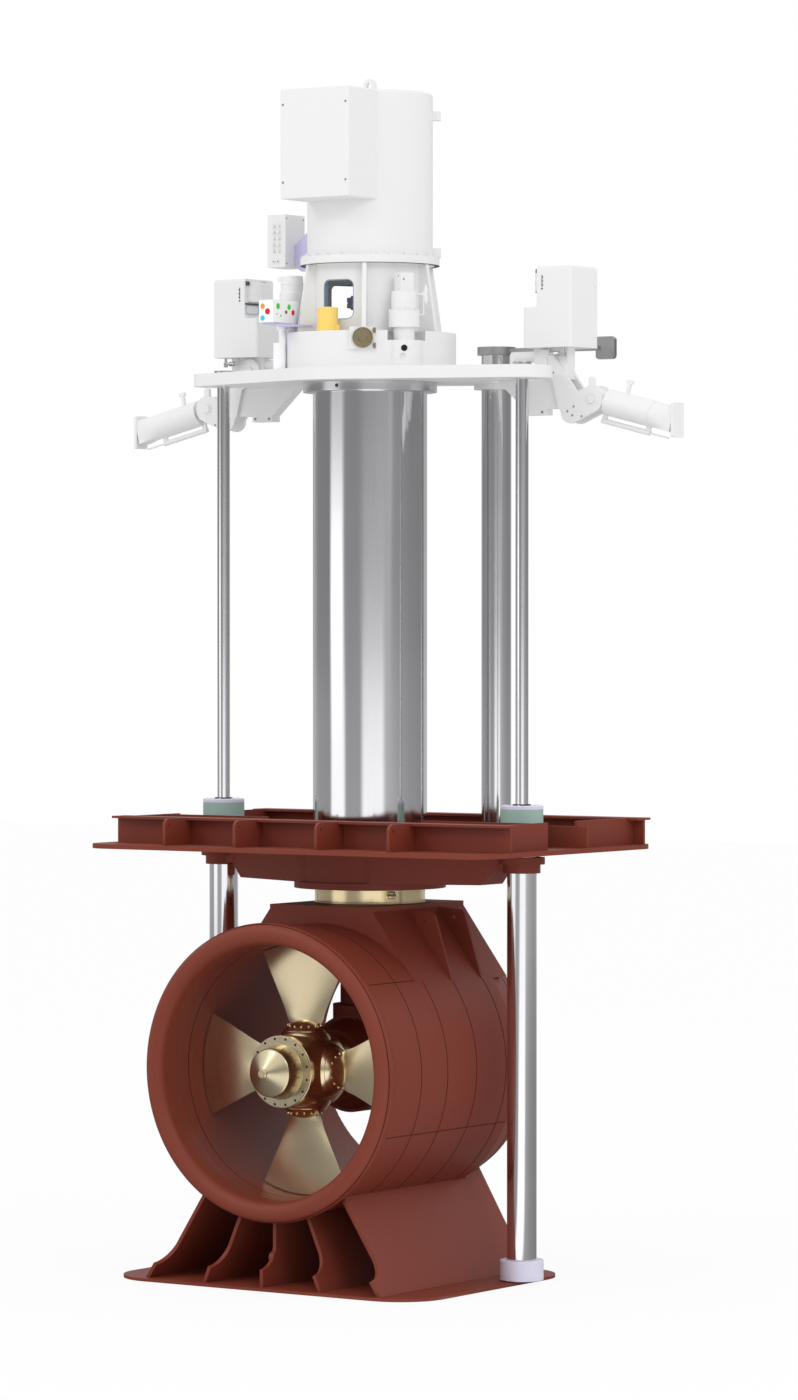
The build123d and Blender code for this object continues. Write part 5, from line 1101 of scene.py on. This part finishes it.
def hub_and_nose():
    """The eased hub with its flared ports, the flange's screws and the blunt nose cone."""
    hub = Shape()
    front = on_axis(FLANGE_Y + 0.012, FRONT)
    body = [
        (0, -0.581), (0.206, -0.581), (0.212, -0.440), (0.222, -0.404), (0.254, -0.398),
        (0.2605, -0.394), (0.2630, -0.386), (0.2640, -0.300), (0.2635, -0.250), (0.257, -0.192),
        (0.243, -0.142), (0.226, -0.105), (0.216, -0.076), (0.213, -0.044), (0.217, -0.034),
        (0.236, -0.032), (0.238, -0.030), (0.238, -0.003), (0.235, 0), (0, 0),
    ]
    hub.turned(body, front, 128)
    port = [
        (0, 0.10), (0.220, 0.10), (0.200, 0.150), (0.184, 0.185), (0.170, 0.212), (0.158, 0.2325),
        (0.1475, 0.2475), (0.1445, 0.2505), (0, 0.2505),
    ]
    for number in range(4):
        hub.turned(port, about_hub(90 * number), 96)
    hub.piece("hub_casting", "hub_bronze", "bronze", body="propeller", node="propeller_hub")
    nose = Shape()
    corners = [
        (0, 0.0), (0.236, 0.0), (0.236, 0.012), (0.178, 0.012), (0.157, 0.132), (0.150, 0.138),
        (0.034, 0.208), (0, 0.208),
    ]
    nose.turned(softened(corners, 0.003), front, 128)
    nose.piece("nose_casting", "nose_bronze", "bronze", body="propeller", node="hub_nose_cone")
    repeated(
        "hub_flange_screws", round_plug("flange_plug", 0.0085, 0.0015), circle(16, 0.2165),
        [on_axis(FLANGE_Y, FRONT) @ at(0, 0, 0, 11.25)], "black_plug", body="propeller",
    )
    knob = Shape()
    head = [(0, -0.012), (0.033, -0.012), (0.033, 0.006), (0.028, 0.011), (0, 0.011)]
    knob.turned(softened(head, 0.002), on_axis(FLANGE_Y - 0.196, FRONT), 48)
    knob.piece("nose_cone_bolt", "hub_bronze", "bronze", body="propeller")


def between(root, tip, share):
    return root + (tip - root) * share


def blade_point(along, outward, upper):
    """A point of the top blade: along the chord from -1 to 1, and outward from root to tip."""
    reach = PROP_R
    for _ in range(4):
        share = (reach - BLADE_ROOT) / (PROP_R - BLADE_ROOT)
        across = along * between(ROOT_CHORD, TIP_CHORD, share) / 2
        reach = sqrt(PROP_R ** 2 - across ** 2)
    height = between(BLADE_LOW, reach, outward)
    share = (height - BLADE_ROOT) / (PROP_R - BLADE_ROOT)
    left = max(0.0, 1 - max(0.0, share))
    half = between(ROOT_CHORD, TIP_CHORD, share) / 2
    thick = between(TIP_THICK, ROOT_THICK, left ** THICK_FALL)
    foot = 1 + FLARE * left ** FLARE_FALL
    belly = (1 - along ** 2) * thick * (UPPER_BELLY if upper else LOWER_BELLY) * foot
    point = Vector((along * half * foot, belly, height))
    return Matrix.Rotation(radians(between(ROOT_PITCH, TIP_PITCH, share)), 3, "Z") @ point


def dome_bolt():
    """A bolt that leans on the dome's slope; its mesh holds its own way out from the axis."""
    slope = at(0.112, 0) @ Matrix.Rotation(radians(38), 4, "Y")
    head = [(0, -0.006), (0.0085, -0.006), (0.0085, 0.006), (0.006, 0.0095), (0, 0.0095)]
    return small_part("dome_bolt", [(10, head)], slope)


def blades():
    """Four blades, each with its domed root and a ring of bolts on the dome's slope."""
    steps, stops, levels = 12, 24, 36
    no_radius = 0.0001
    dome = [(0, DOME_FOOT), (DOME_R, DOME_FOOT)]
    for step in range(steps):
        radius = DOME_R * (1 - step / steps)
        dome.append((radius, DOME_BALL_HEIGHT + sqrt(DOME_BALL_R ** 2 - radius ** 2)))
    dome.append((0, DOME_TOP))
    chord = [-cos(pi * k / stops) for k in range(stops + 1)]
    bolt = dome_bolt()
    for number in range(4):
        name = "blade_" + str(number + 1)
        place = about_hub(90 * number)
        rings = []
        for level in range(levels + 1):
            outward = 1 - (1 - level / levels) ** 1.15
            upper = [place @ blade_point(along, outward, True) for along in chord]
            lower = [place @ blade_point(along, outward, False) for along in chord[-2:0:-1]]
            rings.append(upper + lower)
        root, tip = rings[0], rings[-1]
        root_end, tip_end = ([(end[k] + end[-k]) / 2 for k in range(len(end))] for end in (root, tip))
        shape = Shape()
        shape.skin([root_end, *rings, tip_end])
        bmesh.ops.remove_doubles(shape.mesh, verts=shape.mesh.verts, dist=0.00001)
        shape.turned(dome, place, 96)
        shape.piece(name + "_casting", "bronze", body=name, sharp=40, node="propeller_" + name)
        repeated(
            name + "_bolts", bolt, circle(14, no_radius), [place @ at(0, 0, 0.2850, 8)],
            "azimuth_ring_bronze", body=name,
        )


turned_bodies()
bright_collar()
foundation_details()
window_linings()
lantern_details()
steering_motor_details()
motor_pipes()
cap_and_cover_details()
shelf_apron()
control_lamps()
box_details()
enclosure_details()
notch_units()
left_motor_cap()
lock_details()
nozzle_seams()
clamp_details()
hub_and_nose()
blades()
leg_welds()


# Studio and camera: the photograph's light, angle and distance, level but for a degree

CAMERA_AWAY = 35.91
CAMERA_HEIGHT = 1.551
SENSOR_WIDTH = 36.0
IMAGE_LONG_SIDE = 1400
FOCAL_PIXELS = 5400
AXIS_LEFT_OF_MIDDLE = 29
HORIZON_ABOVE_MIDDLE = 85
AMBIENT = 0.95
FLOOR_HALF = 60.0
BACKDROP_WHITE = grey(1.0)

# Brightness of the studio's walls and floor as metal sees them, by the angle from the camera's side

LOW_WALLS = [
    (-180, 0.30), (-150, 0.50), (-131, 0.28), (-90, 0.26), (-84, 1.70), (-60, 1.70), (-53, 0.31),
    (-24, 0.31), (-8, 0.48), (40, 0.52), (46, 0.35), (90, 0.29), (125, 0.26), (150, 0.55), (180, 0.30),
]
HIGH_WALLS = [
    (-180, 0.30), (-150, 0.50), (-131, 0.25), (-88, 0.25), (-80, 0.50), (-60, 0.46), (-50, 0.29),
    (-30, 0.27), (0, 0.34), (36, 0.42), (43, 0.52), (50, 0.33), (90, 0.25), (125, 0.26), (150, 0.50),
    (180, 0.30),
]
NEAR_FLOOR = [
    (-180, 0.20), (-131, 0.14), (-100, 0.10), (-70, 0.16), (-45, 0.24), (-26, 0.30), (-20, 1.40),
    (22, 1.40), (30, 0.40), (60, 0.26), (100, 0.20), (131, 0.22), (180, 0.20),
]
FAR_FLOOR = [
    (-180, 0.40), (-150, 0.55), (-131, 0.40), (-88, 0.36), (-82, 1.30), (-55, 1.30), (-49, 0.42),
    (-20, 0.42), (-12, 1.30), (24, 1.30), (32, 0.60), (60, 0.44), (90, 0.36), (125, 0.32), (150, 0.60),
    (180, 0.40),
]


def by_angle(graph, place, levels):
    """The levels as a ramp round the upright axis, from the camera's side of the studio."""
    full = 2 * pi
    axes = graph.add("ShaderNodeSeparateXYZ", {0: place})
    turned = axes["Y"].maths("ARCTAN2", axes["X"])
    share = turned / full + (radians(90) - radians(CAMERA_TURN)) / full + 0.5
    around = share.maths("FRACT")
    stops = [((angle + 180) / 360, (level, level, level * 1.01, 1.0)) for angle, level in levels]
    return graph.add("ShaderNodeValToRGB", {"Fac": around}, stops=stops)["Color"]


def fade(graph, value, start, end):
    inputs = {"Value": value, "From Min": start, "From Max": end}
    return graph.add("ShaderNodeMapRange", inputs)["Result"]


def studio_world():
    """White backdrop for the camera, and for metal the same backdrop above grey walls."""
    world = bpy.data.worlds.new("studio")
    bpy.context.scene.world = world
    world.use_nodes = True
    world.node_tree.nodes.clear()
    graph = Graph(world.node_tree)
    rays = graph.add("ShaderNodeLightPath")
    seen = rays["Is Camera Ray"].at_least(rays["Is Transmission Ray"])
    direction = graph.add("ShaderNodeTexCoord")["Generated"]
    height = graph.add("ShaderNodeSeparateXYZ", {0: direction})["Z"]
    low = by_angle(graph, direction, LOW_WALLS)
    walls = graph.mixed(low, by_angle(graph, direction, HIGH_WALLS), fade(graph, height, 0.010, 0.040))
    floor = by_angle(graph, direction, FAR_FLOOR)
    walls = graph.mixed(floor, walls, fade(graph, height, -0.016, -0.006))
    walls = graph.mixed(walls, grey(1.10), fade(graph, height, 0.22, 0.50))
    shiny = graph.mixed(grey(AMBIENT), walls, rays["Is Glossy Ray"])
    colour = graph.mixed(shiny, BACKDROP_WHITE, seen)
    backdrop = graph.add("ShaderNodeBackground", {"Color": colour, "Strength": 1.0})
    graph.add("ShaderNodeOutputWorld", {"Surface": backdrop["Background"]})


def studio_floor(level):
    """Pale floor that keeps the object's shadow under a white backdrop."""
    graph, place = new_finish("studio_floor")
    rays = graph.add("ShaderNodeLightPath")
    direct = rays["Is Camera Ray"].at_least(rays["Is Transmission Ray"])
    seen = direct.at_least(rays["Is Glossy Ray"])
    away = graph.add("ShaderNodeVectorMath", {0: place}, operation="LENGTH")["Value"]
    near = by_angle(graph, place, NEAR_FLOOR)
    tone = graph.mixed(near, by_angle(graph, place, FAR_FLOOR), fade(graph, away, 14.0, 44.0))
    tone = graph.mixed(tone, BACKDROP_WHITE, direct)
    diffuse = graph.add("ShaderNodeBsdfDiffuse", {"Color": grey(0.9)})
    lit = graph.add("ShaderNodeEmission", {"Color": tone})
    inputs = {0: seen * 0.9, 1: diffuse["BSDF"], 2: lit["Emission"]}
    both = graph.add("ShaderNodeMixShader", inputs)
    graph.add("ShaderNodeOutputMaterial", {"Surface": both["Shader"]})
    mesh = bpy.data.meshes.new("floor")
    half = FLOOR_HALF
    corners = [(-half, -half, level), (half, -half, level), (half, half, level), (-half, half, level)]
    mesh.from_pydata(corners, [], [(0, 1, 2, 3)])
    mesh.materials.append(finishes["studio_floor"])
    in_scene("floor", mesh)


def studio_lamp(name, place):
    """A round lamp aimed at a point a metre above the foundation."""
    light = bpy.data.lights.new(name, "AREA")
    light.shape = "DISK"
    light.size = 6.0
    light.energy = 420
    lamp = in_scene(name, light)
    lamp.location = place
    lamp.rotation_euler = (Vector(UP) - Vector(place)).to_track_quat("-Z", "Y").to_euler()


def photo_camera():
    data = bpy.data.cameras.new("camera")
    data.sensor_fit = "AUTO"
    data.sensor_width = SENSOR_WIDTH
    data.lens = FOCAL_PIXELS / IMAGE_LONG_SIDE * data.sensor_width
    data.clip_end = 500.0
    camera = in_scene("camera", data)
    turn = radians(CAMERA_TURN)
    sine, cosine = sin(turn), cos(turn)
    camera.location = (CAMERA_AWAY * sine, -CAMERA_AWAY * cosine, CAMERA_HEIGHT)
    to_axis = Vector((-sine, cosine, 0))
    to_right = Vector((cosine, sine, 0))
    aim = to_axis + to_right * (AXIS_LEFT_OF_MIDDLE / FOCAL_PIXELS)
    aim.z = -HORIZON_ABOVE_MIDDLE / FOCAL_PIXELS
    camera.rotation_euler = aim.to_track_quat("-Z", "Y").to_euler()
    bpy.context.scene.camera = camera


studio_world()
studio_floor(cad_box[0][2] - 0.002)
studio_lamp("front_left_lamp", (-9, -16, 13))
studio_lamp("right_lamp", (15, -8, 12))
photo_camera()
bpy.context.scene.view_settings.view_transform = "Standard"
